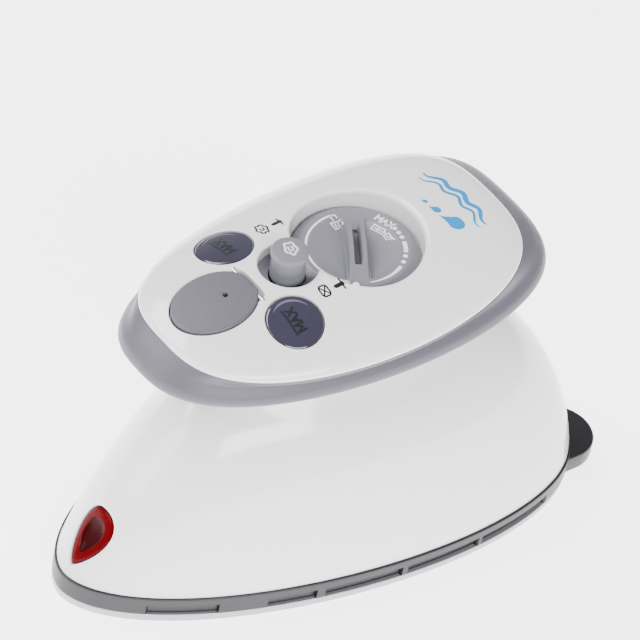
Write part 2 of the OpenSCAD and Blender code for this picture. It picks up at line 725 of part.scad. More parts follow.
module temperature_dial() color([0.65, 0.65, 0.69]) in_grip() translate([dial_x, 0, 0]) difference() {
  union() {
    rod(dial_r, dial_face - dial_t, dial_face - dial_bevel);
    translate([0, 0, dial_face - dial_bevel]) cylinder(r1 = dial_r, r2 = dial_flat_r, h = dial_bevel);
    rotate([0, 0, bar_turn]) translate([bar_start, -bar_w / 2, -1]) cube([bar_len, bar_w, dial_face + bar_h + 1]);
  }
  rotate([0, 0, bar_turn]) translate([slot_start, -slot_w / 2, dial_face]) cube([20, slot_w, 9]);
  rod(shaft_r + 0.02, -10, dial_face - 1);
}

module dial_shaft() color([0.8, 0.78, 0.72]) in_grip() translate([dial_x, 0, 0]) rod(shaft_r, shaft_foot, dial_face - 1.05);

module dial_washer() color([0.8, 0.8, 0.8]) in_grip() translate([dial_x, 0, 0]) tube(7, shaft_r + 0.3, dial_floor + 0.02, dial_floor + 0.4);

module shaft_clip() color([0.6, 0.6, 0.62]) in_grip() translate([dial_x, 0, 0]) tube(4.4, shaft_r + 0.01, -7.4, -6.4);

soleplate();
heating_element();
element_tabs();
chamber_gasket();
chamber_cover();
chamber_screws();
thermostat();
thermostat_screws();
thermal_fuse();
heat_shield();
heat_skirt();
body_screws();
body_shell();
side_plugs();
indicator_lens();
indicator_lamp();
lamp_holder();
terminal_block();
internal_leads();
earth_tab();
sole_clamps();
cord_gland();
cord_clamp();
cord_clamp_screws();
grip_shell();
neck_screws();
top_cover();
cover_screws();
water_tank();
filler_seal();
fill_window_left();
fill_window_right();
window_seals();
filler_cap();
filler_plug();
cap_hinge_pin();
steam_button();
button_collar();
needle_rod();
needle_spring();
valve_body();
drip_nozzle();
valve_seal();
temperature_dial();
dial_shaft();
dial_washer();
shaft_clip();
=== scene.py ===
import json
import math

import bmesh
import bpy
import numpy as np
from mathutils import Matrix, Vector
from mathutils.geometry import delaunay_2d_cdt


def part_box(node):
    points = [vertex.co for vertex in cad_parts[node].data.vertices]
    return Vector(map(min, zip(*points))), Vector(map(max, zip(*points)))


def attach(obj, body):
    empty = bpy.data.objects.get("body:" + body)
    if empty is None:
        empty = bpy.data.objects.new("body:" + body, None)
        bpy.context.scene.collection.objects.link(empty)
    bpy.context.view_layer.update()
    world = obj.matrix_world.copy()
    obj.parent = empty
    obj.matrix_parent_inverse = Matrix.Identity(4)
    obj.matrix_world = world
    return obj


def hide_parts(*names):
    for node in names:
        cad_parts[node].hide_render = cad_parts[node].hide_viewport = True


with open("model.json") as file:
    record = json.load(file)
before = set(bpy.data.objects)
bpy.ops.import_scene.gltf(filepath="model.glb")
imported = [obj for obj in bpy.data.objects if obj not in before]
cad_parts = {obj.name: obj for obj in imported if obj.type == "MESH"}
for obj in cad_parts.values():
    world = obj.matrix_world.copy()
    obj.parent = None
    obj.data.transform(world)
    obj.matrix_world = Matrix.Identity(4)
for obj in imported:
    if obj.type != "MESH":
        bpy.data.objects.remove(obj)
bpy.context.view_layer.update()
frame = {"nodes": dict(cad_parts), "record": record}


# ---- the studio ----
# A white paper sweep under large soft lights, seen from above the nose on the iron's right-hand
# side, through a long lens that is held a little off level.
FLOOR_HALF = 3.0
CAMERA_AT = (-0.594953, -0.580875, 0.795830)
CAMERA_RIGHT = (0.79026, -0.590374, 0.164157)
CAMERA_UP = (0.303626, 0.609953, 0.731962)
LENS_MM = 235.0
PAPER_GLOW = 3.2
AIR_GLOW = 0.6

floor_mesh = bpy.data.meshes.new("studio_floor")
floor_mesh.from_pydata([(-FLOOR_HALF, -FLOOR_HALF, -0.0002), (FLOOR_HALF, -FLOOR_HALF, -0.0002),
                        (FLOOR_HALF, FLOOR_HALF, -0.0002), (-FLOOR_HALF, FLOOR_HALF, -0.0002)], [],
                       [(0, 1, 2, 3)])
studio_floor = bpy.data.objects.new("studio_floor", floor_mesh)
bpy.context.scene.collection.objects.link(studio_floor)
paper = bpy.data.materials.new("paper_sweep")
paper.use_nodes = True
paper.node_tree.nodes["Principled BSDF"].inputs["Base Color"].default_value = (0.93, 0.93, 0.93, 1)
paper.node_tree.nodes["Principled BSDF"].inputs["Roughness"].default_value = 0.9
paper.node_tree.nodes["Principled BSDF"].inputs["Emission Color"].default_value = (1, 1, 1, 1)
paper.node_tree.nodes["Principled BSDF"].inputs["Emission Strength"].default_value = PAPER_GLOW
floor_mesh.materials.append(paper)

world = bpy.data.worlds.new("studio_air")
world.use_nodes = True
world.node_tree.nodes["Background"].inputs["Color"].default_value = (1, 1, 1, 1)
world.node_tree.nodes["Background"].inputs["Strength"].default_value = AIR_GLOW
bpy.context.scene.world = world


def softbox(name, at, aim, size, power):
    """A rectangular area light at a place, turned to face a point."""
    lamp = bpy.data.lights.new(name, "AREA")
    lamp.shape = "RECTANGLE"
    lamp.size, lamp.size_y = size
    lamp.energy = power
    stand = bpy.data.objects.new(name, lamp)
    stand.location = at
    stand.rotation_euler = (Vector(aim) - Vector(at)).to_track_quat("-Z", "Y").to_euler()
    bpy.context.scene.collection.objects.link(stand)


softbox("key_softbox", (-0.25, -0.95, 0.75), (0, 0, 0.03), (0.9, 0.35), 15)
softbox("top_softbox", (-0.35, 0.75, 1.1), (0, 0, 0.05), (0.9, 0.6), 19)
softbox("fill_softbox", (-1.1, 0.3, 0.7), (0, 0, 0.05), (0.7, 0.7), 7)

camera = bpy.data.cameras.new("camera")
camera.sensor_width = 36.0
camera.lens = LENS_MM
camera.clip_start = 0.05
camera_stand = bpy.data.objects.new("camera", camera)
right, up = Vector(CAMERA_RIGHT), Vector(CAMERA_UP)
back = right.cross(up)
turn = Matrix((right, up, back)).transposed().to_4x4()
camera_stand.matrix_world = Matrix.Translation(CAMERA_AT) @ turn
bpy.context.scene.collection.objects.link(camera_stand)
bpy.context.scene.camera = camera_stand


# ---- moulded and metal finishes ----
# One node group gives every finish its fine surface: a grain that pits the normal, and a slower
# unevenness of the gloss, both in the piece's own coordinates so that they stay with it.
def fine_surface_group():
    """Noise at two scales: the fine one feeds a Bump node, the slow one is added to the roughness."""
    group = bpy.data.node_groups.new("fine_surface", "ShaderNodeTree")
    for label, kind, start in (("Color", "NodeSocketColor", (0.8, 0.8, 0.8, 1)),
                               ("Tint", "NodeSocketColor", (0.7, 0.7, 0.7, 1)),
                               ("Tint Amount", "NodeSocketFloat", 0.1),
                               ("Roughness", "NodeSocketFloat", 0.3),
                               ("Gloss Change", "NodeSocketFloat", 0.05),
                               ("Grain Scale", "NodeSocketFloat", 2000.0),
                               ("Grain Depth", "NodeSocketFloat", 0.05),
                               ("Patch Scale", "NodeSocketFloat", 40.0)):
        socket = group.interface.new_socket(name=label, in_out="INPUT", socket_type=kind)
        socket.default_value = start
    for label, kind in (("Color", "NodeSocketColor"), ("Roughness", "NodeSocketFloat"),
                        ("Normal", "NodeSocketVector")):
        group.interface.new_socket(name=label, in_out="OUTPUT", socket_type=kind)
    nodes, links = group.nodes, group.links
    given, made = nodes.new("NodeGroupInput"), nodes.new("NodeGroupOutput")
    place = nodes.new("ShaderNodeTexCoord")
    grain, patch = nodes.new("ShaderNodeTexNoise"), nodes.new("ShaderNodeTexNoise")
    grain.inputs["Detail"].default_value = 3.0
    patch.inputs["Detail"].default_value = 4.0
    links.new(place.outputs["Object"], grain.inputs["Vector"])
    links.new(place.outputs["Object"], patch.inputs["Vector"])
    links.new(given.outputs["Grain Scale"], grain.inputs["Scale"])
    links.new(given.outputs["Patch Scale"], patch.inputs["Scale"])
    bump = nodes.new("ShaderNodeBump")
    bump.inputs["Distance"].default_value = 0.0002
    links.new(given.outputs["Grain Depth"], bump.inputs["Strength"])
    links.new(grain.outputs["Fac"], bump.inputs["Height"])
    links.new(bump.outputs["Normal"], made.inputs["Normal"])
    level = nodes.new("ShaderNodeMath")
    level.operation = "SUBTRACT"
    level.inputs[1].default_value = 0.5
    links.new(patch.outputs["Fac"], level.inputs[0])
    change = nodes.new("ShaderNodeMath")
    change.operation = "MULTIPLY_ADD"
    links.new(level.outputs[0], change.inputs[0])
    links.new(given.outputs["Gloss Change"], change.inputs[1])
    links.new(given.outputs["Roughness"], change.inputs[2])
    links.new(change.outputs[0], made.inputs["Roughness"])
    share = nodes.new("ShaderNodeMath")
    share.operation = "MULTIPLY"
    links.new(patch.outputs["Fac"], share.inputs[0])
    links.new(given.outputs["Tint Amount"], share.inputs[1])
    mix = nodes.new("ShaderNodeMix")
    mix.data_type = "RGBA"
    links.new(share.outputs[0], mix.inputs["Factor"])
    links.new(given.outputs["Color"], mix.inputs[6])
    links.new(given.outputs["Tint"], mix.inputs[7])
    links.new(mix.outputs[2], made.inputs["Color"])
    return group


fine_surface = fine_surface_group()


def finish(name, color, tint, rough, grain_scale, grain_depth, amount=0.15, gloss=0.08, patch=40.0,
           **shader):
    """A Principled material whose colour, roughness and normal come through the fine surface."""
    made = bpy.data.materials.new(name)
    made.use_nodes = True
    tree = made.node_tree
    skin = tree.nodes["Principled BSDF"]
    fine = tree.nodes.new("ShaderNodeGroup")
    fine.node_tree = fine_surface
    fine.inputs["Color"].default_value = (*color, 1)
    fine.inputs["Tint"].default_value = (*tint, 1)
    for label, value in (("Tint Amount", amount), ("Roughness", rough), ("Gloss Change", gloss),
                         ("Grain Scale", grain_scale), ("Grain Depth", grain_depth),
                         ("Patch Scale", patch)):
        fine.inputs[label].default_value = value
    tree.links.new(fine.outputs["Color"], skin.inputs["Base Color"])
    tree.links.new(fine.outputs["Roughness"], skin.inputs["Roughness"])
    tree.links.new(fine.outputs["Normal"], skin.inputs["Normal"])
    for label, value in shader.items():
        skin.inputs[label.replace("_", " ")].default_value = value
    return made


white_gloss = finish("white_gloss", (0.92, 0.92, 0.925), (0.80, 0.80, 0.79), 0.16, 900.0, 0.04, 0.2,
                     0.06,
                     Coat_Weight=0.35, Coat_Roughness=0.05)
grip_grey = finish("grip_grey", (0.105, 0.10, 0.127), (0.09, 0.086, 0.11), 0.42, 2600.0, 0.35, 0.35,
                   0.12)
control_grey = finish("control_grey", (0.195, 0.193, 0.225), (0.172, 0.17, 0.198), 0.38, 2200.0, 0.22,
                      0.3, 0.1)
skirt_dark = finish("skirt_dark", (0.005, 0.0045, 0.008), (0.009, 0.008, 0.0125), 0.38, 1800.0, 0.4,
                    0.5, 0.15)
sole_alloy = finish("sole_alloy", (0.42, 0.41, 0.44), (0.36, 0.35, 0.38), 0.34, 3000.0, 0.3, 0.4, 0.15,
                    Metallic=0.55)


def to_mesh(name, points_mm, faces, finish_used, body, keep_sharp=38.0):
    """Points in millimetres and faces as index tuples become one smooth-shaded object, joined where
    points coincide, with its folds sharper than keep_sharp degrees left as edges."""
    mesh = bpy.data.meshes.new(name)
    mesh.from_pydata((np.asarray(points_mm, float) * 0.001).tolist(), [], faces)
    work = bmesh.new()
    work.from_mesh(mesh)
    bmesh.ops.remove_doubles(work, verts=work.verts, dist=2e-6)
    bmesh.ops.dissolve_degenerate(work, edges=work.edges, dist=1e-7)
    work.to_mesh(mesh)
    work.free()
    mesh.polygons.foreach_set("use_smooth", [True] * len(mesh.polygons))
    mesh.set_sharp_from_angle(angle=math.radians(keep_sharp))
    mesh.materials.append(finish_used)
    piece = bpy.data.objects.new(name, mesh)
    bpy.context.scene.collection.objects.link(piece)
    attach(piece, body)
    return piece


def strip(rings, closed=True, first=0):
    """Quads between successive rings of equal length; the rings are stacked in order."""
    count = len(rings[0])
    span = count if closed else count - 1
    index = np.arange(count)
    faces = []
    for k in range(len(rings) - 1):
        a = first + k * count + index[:span]
        b = first + k * count + (index[:span] + 1) % count
        faces.append(np.stack([a, b, b + count, a + count], 1))
    return np.concatenate(rings), [tuple(int(i) for i in f) for f in np.concatenate(faces)]


def joined(*parts):
    """Several (points, faces) pairs as one."""
    points, faces, start = [], [], 0
    for part_points, part_faces in parts:
        points.append(np.asarray(part_points, float))
        faces += [tuple(i + start for i in f) for f in part_faces]
        start += len(part_points)
    return np.concatenate(points), faces


def flipped(part):
    """The same surface, facing the other way."""
    return part[0], [tuple(reversed(f)) for f in part[1]]


def fan(ring, centre):
    """Triangles from a ring to a point at its centre."""
    count = len(ring)
    return np.vstack([ring, [centre]]), [(i, (i + 1) % count, count) for i in range(count)]


# ---- the soleplate ----
# A die-cast aluminium plate, ground and coated on its face, with a heater cast in and a row of
# steam holes round the nose. Its thin pale edge shows under the skirt.
SOLE_P, SOLE_Q = 0.546, 0.291
EDGE_ROUND = 0.6
HOLE_R = 1.1
HOLE_COUNT = 11
ROUND_STEPS = 5
sole_low, sole_high = (1000 * np.array(c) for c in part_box("heat_skirt"))
sole_box = [1000 * np.array(c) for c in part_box("soleplate")]
NOSE = float(sole_low[0])
HEEL = float(sole_box[1][0]) + 0.2
HALF = float(sole_high[1])
SKIRT_FOOT = float(sole_low[2])
SKIRT_TOP = float(sole_high[2])
CASTING_INSET = 8.0


def leaf(angle, x0, x1, half, p, q):
    """A leaf outline: with u = (1 - cos angle) / 2 running from nose to heel, the half width is
    half * (u/um)^p * ((1-u)/(1-um))^q, which is widest at um = p / (p + q)."""
    u = np.clip((1 - np.cos(angle)) / 2, 0, 1)
    um = p / (p + q)
    side = np.where(np.sin(angle) < 0, -1.0, 1.0)
    return np.stack([x0 + (x1 - x0) * u, side * half * (u / um) ** p * ((1 - u) / (1 - um)) ** q], -1)


def even_angles(count, curve):
    """Angles at which a closed curve of the angle is cut into equal lengths, from the nose round."""
    angle = np.linspace(0, 2 * np.pi, 6001)
    points = curve(angle)
    run = np.concatenate([[0], np.cumsum(np.hypot(*np.diff(points, axis=0).T))])
    return np.interp(np.linspace(0, run[-1], count, endpoint=False), run, angle)


def sole_outline(inset, count=400):
    """The plate's outline drawn in by an inset."""
    angles = even_angles(count, lambda a: leaf(a, NOSE, HEEL, HALF, SOLE_P, SOLE_Q))
    return leaf(angles, NOSE + inset, HEEL - inset, HALF - inset, SOLE_P, SOLE_Q)


def level(outline, z):
    """A plane outline lifted to a height."""
    return np.column_stack([outline, np.full(len(outline), z)])


def inside(points, loop):
    """True for each point that lies inside the closed loop, by counting edge crossings."""
    x, y = points[:, 0:1], points[:, 1:2]
    a, b = loop, np.roll(loop, -1, axis=0)
    spans = (a[:, 1] > y) != (b[:, 1] > y)
    rise = np.where(b[:, 1] == a[:, 1], 1e-30, b[:, 1] - a[:, 1])
    return (spans & (x < (b[:, 0] - a[:, 0]) * (y - a[:, 1]) / rise + a[:, 0])).sum(1) % 2 == 1


def near(points, loop, reach):
    """True for each point closer than reach to a corner of the loop."""
    gap = np.full(len(points), 1e9)
    for start in range(0, len(loop), 64):
        d = points[:, None, :] - loop[None, start:start + 64, :]
        gap = np.minimum(gap, (d ** 2).sum(2).min(1))
    return gap < reach ** 2


def pierced(rhos, count, loops, margin):
    """A polar grid with holes. Cells that come within margin of a loop are taken out and the space
    up to the loop is filled with triangles. Returns plane points, faces and each loop's indices."""
    angles = np.linspace(0, 2 * np.pi, count, endpoint=False)
    grid = (rhos[:, None, None] * np.stack([np.cos(angles), np.sin(angles)], -1)[None]).reshape(-1, 2)
    bad = np.zeros(len(grid), bool)
    for loop in loops:
        bad |= inside(grid, loop) | near(grid, loop, margin)
    bad = bad.reshape(len(rhos), count)
    cell = bad[:-1] | bad[1:] | np.roll(bad[:-1], -1, 1) | np.roll(bad[1:], -1, 1)
    k, j = np.nonzero(~cell)
    j2 = (j + 1) % count
    faces = [tuple(int(i) for i in f) for f in np.stack([k * count + j, (k + 1) * count + j,
                                                         (k + 1) * count + j2, k * count + j2], 1)]
    edges = {}
    for kk, jj in zip(*np.nonzero(cell)):
        jn = (jj + 1) % count
        ring = [kk * count + jj, (kk + 1) * count + jj, (kk + 1) * count + jn, kk * count + jn]
        for a, b in zip(ring, ring[1:] + ring[:1]):
            key = (min(a, b), max(a, b))
            edges[key] = edges.get(key, 0) + 1
    rim = [e for e, uses in edges.items() if uses == 1]
    used = sorted({i for e in rim for i in e})
    # cells taken out keep their inner grid points where those are clear of the loops
    spare = [i for i in sorted({i for e in edges for i in e} - set(used)) if not bad.reshape(-1)[i]]
    order = used + spare
    local = {g: n for n, g in enumerate(order)}
    points = [Vector(grid[g]) for g in order]
    wires = [(local[a], local[b]) for a, b in rim]
    loop_ids, start = [], len(grid)
    extra = []
    for loop in loops:
        base = len(points)
        points += [Vector(p) for p in loop]
        wires += [(base + i, base + (i + 1) % len(loop)) for i in range(len(loop))]
        loop_ids.append(np.arange(start, start + len(loop)))
        order += list(range(start, start + len(loop)))
        start += len(loop)
        extra.append(loop)
    every = np.concatenate([grid] + extra)
    out = delaunay_2d_cdt(points, wires, [], 0, 1e-7)
    source = [order[o[0]] if o else -1 for o in out[3]]
    tri = np.array([[source[i] for i in f] for f in out[2]])
    tri = tri[(tri >= 0).all(1)]
    centre = every[tri].mean(1)
    radius = np.hypot(*centre.T)
    turn_of = np.floor(np.mod(np.arctan2(centre[:, 1], centre[:, 0]), 2 * np.pi) / (2 * np.pi)
                       * count).astype(int) % count
    # a chord lies inside its ring, so the ring of a cell is found on the chord's own scale
    bend = np.cos(np.pi / count) / np.cos(np.mod(np.arctan2(centre[:, 1], centre[:, 0]),
                                                 2 * np.pi / count) - np.pi / count)
    step = np.clip(np.searchsorted(rhos, radius / bend) - 1, 0, len(rhos) - 2)
    keep = cell[step, turn_of] & (radius / bend > rhos[0]) & (radius / bend < rhos[-1])
    for loop in loops:
        keep &= ~inside(centre, loop)
    tri = tri[keep]
    a, b, c = every[tri[:, 0]], every[tri[:, 1]], every[tri[:, 2]]
    area = (b[:, 0] - a[:, 0]) * (c[:, 1] - a[:, 1]) - (b[:, 1] - a[:, 1]) * (c[:, 0] - a[:, 0])
    tri[area < 0] = tri[area < 0][:, ::-1]
    faces += [tuple(int(i) for i in f) for f in tri]
    return every, faces, loop_ids


def compact(points, faces):
    """Drops the points that no face uses."""
    used = np.unique([i for f in faces for i in f])
    new = np.full(len(points), -1)
    new[used] = np.arange(len(used))
    return points[used], [tuple(int(new[i]) for i in f) for f in faces]


def steam_holes():
    """Centres of the steam holes, along the outline drawn in, closer together towards the nose."""
    half_count = HOLE_COUNT // 2
    k = np.arange(-half_count, half_count + 1)
    a = np.pi * (np.abs(k) / (half_count + 1.5)) ** 0.85 * 0.62
    draw = CASTING_INSET + 5.8
    spots = leaf(a, NOSE + draw, HEEL - draw, HALF - draw, SOLE_P, SOLE_Q)
    spots[:, 1] *= np.sign(k)
    return spots


def circle(centre, radius, count=40):
    """A circle as plane points."""
    a = np.linspace(0, 2 * np.pi, count, endpoint=False)
    return np.asarray(centre) + radius * np.stack([np.cos(a), np.sin(a)], -1)


def disc_to_plane(points, rim, middle):
    """A point of the unit disc goes as far from the middle towards the rim as its radius says."""
    count = len(rim)
    turns = np.mod(np.arctan2(points[:, 1], points[:, 0]), 2 * np.pi) / (2 * np.pi) * count
    low = np.floor(turns).astype(int) % count
    part = (turns - np.floor(turns))[:, None]
    edge = rim[low] * (1 - part) + rim[(low + 1) % count] * part
    return middle + (edge - middle) * np.hypot(*points.T)[:, None]


def plane_to_disc(points, rim, middle):
    """The way back: the direction gives the turn, the share of the way to the rim the radius."""
    count = len(rim)
    away = np.unwrap(np.arctan2(rim[:, 1] - middle[1], middle[0] - rim[:, 0]))
    heading = np.mod(np.arctan2(points[:, 1] - middle[1], middle[0] - points[:, 0]), 2 * np.pi)
    turns = np.interp(heading, np.append(away, away[0] + 2 * np.pi), np.arange(count + 1)) / count
    unit = np.stack([np.cos(2 * np.pi * turns), np.sin(2 * np.pi * turns)], -1)
    edge = disc_to_plane(unit, rim, middle)
    return unit * (np.hypot(*(points - middle).T) / np.hypot(*(edge - middle).T))[:, None]


sole_middle = np.array([(NOSE + HEEL) / 2, 0.0])
sole_rim = sole_outline(EDGE_ROUND + 0.2)
hole_loops = [circle(spot, HOLE_R) for spot in steam_holes()]
plane, faces, loop_ids = pierced(np.linspace(0, 1, 40), 400,
                                 [plane_to_disc(h, sole_rim, sole_middle) for h in hole_loops], 0.02)
face_points = disc_to_plane(plane, sole_rim, sole_middle)
face_points = np.column_stack([face_points, np.zeros(len(face_points))])
parts = [compact(face_points, faces)]
for loop in hole_loops:
    flare = [level(circle(loop.mean(0), HOLE_R), 0.0), level(circle(loop.mean(0), HOLE_R - 0.15), 0.25),
             level(circle(loop.mean(0), HOLE_R - 0.15), 7.0)]
    parts.append(flipped(strip(flare)))
    parts.append(flipped(fan(flare[-1], (*loop.mean(0), 7.0))))
quarter = np.linspace(0, np.pi / 2, ROUND_STEPS + 1)
edge_rings = [level(sole_outline(0.2 + EDGE_ROUND * (1 - np.sin(a))), EDGE_ROUND * (1 - np.cos(a)))
              for a in quarter]
edge_rings += [level(sole_outline(0.2), SKIRT_FOOT - 0.15), level(sole_outline(0.35), SKIRT_FOOT),
               level(sole_outline(CASTING_INSET), SKIRT_FOOT), level(sole_outline(CASTING_INSET), 12.9)]
parts.append(strip(edge_rings))
parts.append(fan(edge_rings[-1], (*sole_middle, 12.9)))
sole_piece = to_mesh("sole_plate_shell", *joined(*parts), sole_alloy, "iron_body")
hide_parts("soleplate")


# ---- the heat skirt ----
# A dark glass-filled moulding between the hot plate and the white body. Long shallow slots along
# its foot let air in, and two round feet at the heel hold the iron when it stands on end.
SLOT_DEPTH = 1.3
SLOT_HIGH = 3.4
SLOT_SPANS = ((-68.5, -50.8), (-37.8, -24.0), (-21.5, 2.1), (3.8, 28.1), (29.2, 55.7))
SKIRT_ROUND = 0.5
HEEL_FOOT_R = 10.6
HEEL_FOOT_Y = 18.8
HEEL_FOOT_TOP = 8.0
slot_turns = np.interp([x for span in SLOT_SPANS for x in span],
                       leaf(np.linspace(0, np.pi, 4001), NOSE, HEEL, HALF, SOLE_P, SOLE_Q)[:, 0],
                       np.linspace(0, np.pi, 4001))
beside = np.concatenate([slot_turns - 4e-4, slot_turns + 4e-4])
skirt_turns = np.unique(np.concatenate([even_angles(500,
                                                    lambda a: leaf(a, NOSE, HEEL, HALF, SOLE_P,
                                                                   SOLE_Q)),
                                        beside, 2 * np.pi - beside]))
skirt_x = leaf(skirt_turns, NOSE, HEEL, HALF, SOLE_P, SOLE_Q)[:, 0]
in_slot = np.zeros(len(skirt_turns), bool)
for low_x, high_x in SLOT_SPANS:
    in_slot |= (skirt_x > low_x) & (skirt_x < high_x)


def skirt_ring(inset, z, slotted):
    """The leaf at the skirt's own angles, drawn in by the slots' depth where a slot runs."""
    draw = inset + np.where(in_slot & slotted, SLOT_DEPTH, 0.0)
    return level(leaf(skirt_turns, NOSE + draw, HEEL - draw, HALF - draw, SOLE_P, SOLE_Q), z)


skirt_rings = [skirt_ring(3.0, SKIRT_FOOT, False), skirt_ring(0.3, SKIRT_FOOT, True),
               skirt_ring(0.1, SKIRT_FOOT + 0.1, True),
               skirt_ring(0.0, SKIRT_FOOT + 0.35, True)]
skirt_rings += [skirt_ring(0.0, z, True)
                for z in np.linspace(SKIRT_FOOT + 0.8, SKIRT_FOOT + SLOT_HIGH - 0.04, 6)]
skirt_rings += [skirt_ring(0.0, z, False)
                for z in np.linspace(SKIRT_FOOT + SLOT_HIGH + 0.04, SKIRT_TOP - SKIRT_ROUND, 5)]
skirt_rings += [skirt_ring(SKIRT_ROUND * (1 - np.cos(a)), SKIRT_TOP - SKIRT_ROUND * (1 - np.sin(a)),
                           False) for a in quarter[1:]]
skirt_rings += [skirt_ring(3.0, SKIRT_TOP, False)]


def heel_foot(side):
    """A tongue with a half-round end: at each height its outline is a stadium, smaller at the
    rounded top and bottom edges."""
    centre = np.array([HEEL + 83.5 - 77.9 - HEEL_FOOT_R, side * HEEL_FOOT_Y])
    turns = np.linspace(-np.pi / 2, np.pi / 2, 49)
    end = centre + HEEL_FOOT_R * np.stack([np.cos(turns), np.sin(turns)], -1)
    root = np.array([[centre[0] - 9, centre[1] + HEEL_FOOT_R],
                     [centre[0] - 9, centre[1] - HEEL_FOOT_R]])
    outline = np.vstack([end, root])
    rings = []
    for draw, z in ([(0.5 * (1 - math.sin(a)), SKIRT_FOOT + 0.5 * (1 - math.cos(a))) for a in quarter]
                    + [(0.7 * (1 - math.cos(a)), HEEL_FOOT_TOP - 0.7 * (1 - math.sin(a)))
                       for a in quarter]):
        rings.append(level(centre + (outline - centre) * (1 - draw / HEEL_FOOT_R), z))
    middle = (centre[0] - 2, centre[1])
    return joined(strip(rings), fan(rings[-1], (*middle, HEEL_FOOT_TOP)),
                  flipped(fan(rings[0], (*middle, SKIRT_FOOT))))


skirt_piece = to_mesh("heat_skirt_moulding",
                      *joined(flipped(strip(skirt_rings)), heel_foot(1), heel_foot(-1)), skirt_dark,
                      "iron_body", 30.0)
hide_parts("heat_skirt")


# ---- the body shell ----
# A glossy white dome, injection moulded in one piece. It rises from the skirt, closes in like a
# superellipse and sweeps up into the neck that carries the grip.
DOME_H = 52.0
BODY_INSET = 0.7
NECK_HALF = 14.5
NECK_FRONT, NECK_REAR = -33.0, 31.5
FILLET_Z = SKIRT_TOP + 0.9 * DOME_H
NECK_Z = FILLET_Z + 13.0
GRIP_Z = 91.2
GRIP_TILT = math.radians(5.1)
UNDER_Z = -15.5
LENS_AT = np.array([-72.1, 0.0, 21.2])
LENS_SLOPE = math.radians(59)
GLAND_AT = np.array([HEEL - 5.3, 0.0, 27.0])
GLAND_TILT = math.radians(23)
GLAND_HOLE = 6.15
BODY_TURNS = 400
BODY_RINGS = 130
NECK_RHO = 0.25


def draw_in(v, depth, m, n):
    """How far the dome has closed in at the share v of its height: depth * (1 - (1 - v^m)^(1/n))."""
    return depth * (1 - (1 - np.clip(v, 0, 1) ** m) ** (1 / n))


def half_size(z, full, depth, m, n, neck):
    """The dome's half size up to the fillet, then a power curve that leaves at the dome's own slope
    and ends upright at the neck."""
    slope = depth / n * (1 - 0.9 ** m) ** (1 / n - 1) * m * 0.9 ** (m - 1) / DOME_H
    rise = NECK_Z - FILLET_Z
    over = full - draw_in(0.9, depth, m, n) - neck
    dome = full - draw_in((z - SKIRT_TOP) / DOME_H, depth, m, n)
    sweep = neck + over * np.clip(1 - (z - FILLET_Z) / rise, 0, 1) ** (slope * rise / over)
    return np.where(z < FILLET_Z, dome, sweep)


def body_at(angle, z, inset=0.0):
    """The point of the dome at a leaf angle and a height."""
    t = np.clip((z - SKIRT_TOP) / (NECK_Z - SKIRT_TOP), 0, 1)
    front = -half_size(z, -NOSE - BODY_INSET, 53, 0.95, 2.1, -NECK_FRONT) + inset
    rear = half_size(z, HEEL - BODY_INSET, 46, 1.6, 2.0, NECK_REAR) - inset
    side = half_size(z, HALF - BODY_INSET, 28, 1.6, 1.9, NECK_HALF) - inset
    p = SOLE_P + (0.45 - SOLE_P) * t
    q = SOLE_Q + (0.42 - SOLE_Q) * t
    flat = leaf(angle, front, rear, side, p, q)
    return np.column_stack([flat, z])


def grip_plane(x, z_local):
    """The height of a plane of the tilted grip over a place x."""
    return GRIP_Z + (z_local + x * math.sin(GRIP_TILT)) / math.cos(GRIP_TILT)


body_angles = even_angles(BODY_TURNS, lambda a: leaf(a, NOSE, HEEL, HALF, SOLE_P, SOLE_Q))
walk_z = np.concatenate([SKIRT_TOP + DOME_H * 0.9 * np.sin(np.linspace(0, np.pi / 2, 900)),
                         np.linspace(FILLET_Z, NECK_Z + 8, 400)[1:]])
walk = sum(np.concatenate([[0],
                           np.cumsum(np.linalg.norm(np.diff(body_at(np.full(len(walk_z), a), walk_z),
                                                            axis=0), axis=1))])
           for a in (0.0, np.pi / 2, np.pi))
walk_rho = 1 - (1 - NECK_RHO) * walk / walk[-1]


def body_surface(plane_points, inset=0.0):
    """The ring between the radius NECK_RHO and 1 goes to the dome: the turn gives the leaf angle,
    the radius the height. Above the neck's foot the height runs to the grip's tilted underside."""
    turns = np.mod(np.arctan2(plane_points[:, 1], plane_points[:, 0]),
                   2 * np.pi) / (2 * np.pi) * BODY_TURNS
    angle = np.interp(turns, np.arange(BODY_TURNS + 1), np.append(body_angles, 2 * np.pi))
    z = np.interp(-np.hypot(*plane_points.T), -walk_rho, walk_z)
    made = body_at(angle, z, inset)
    share = np.clip((z - NECK_Z) / (walk_z[-1] - NECK_Z), 0, 1)
    made[:, 2] += share * (grip_plane(made[:, 0], UNDER_Z) - walk_z[-1])
    return made


def body_plane(y, z, heel):
    """The plane point of the dome at a side place y and a height z, on its nose or its heel."""
    ladder = np.linspace(0, 1.3, 800)
    spots = []
    for yy, zz in zip(y, z):
        ys = body_at(ladder if not heel else np.pi - ladder, np.full(800, zz))[:, 1]
        a = np.interp(abs(yy), ys, ladder)
        angle = (np.pi - a if heel else a) if yy >= 0 else (np.pi + a if heel else 2 * np.pi - a)
        turn_here = np.interp(angle, np.append(body_angles, 2 * np.pi),
                              np.arange(BODY_TURNS + 1)) / BODY_TURNS * 2 * np.pi
        rho = np.interp(zz, walk_z, walk_rho)
        spots.append((rho * math.cos(turn_here), rho * math.sin(turn_here)))
    return np.array(spots)


LENS_TOP, LENS_TIP, LENS_HALF = -6.4, 11.5, 5.3
LENS_P, LENS_Q = 0.47, 0.8


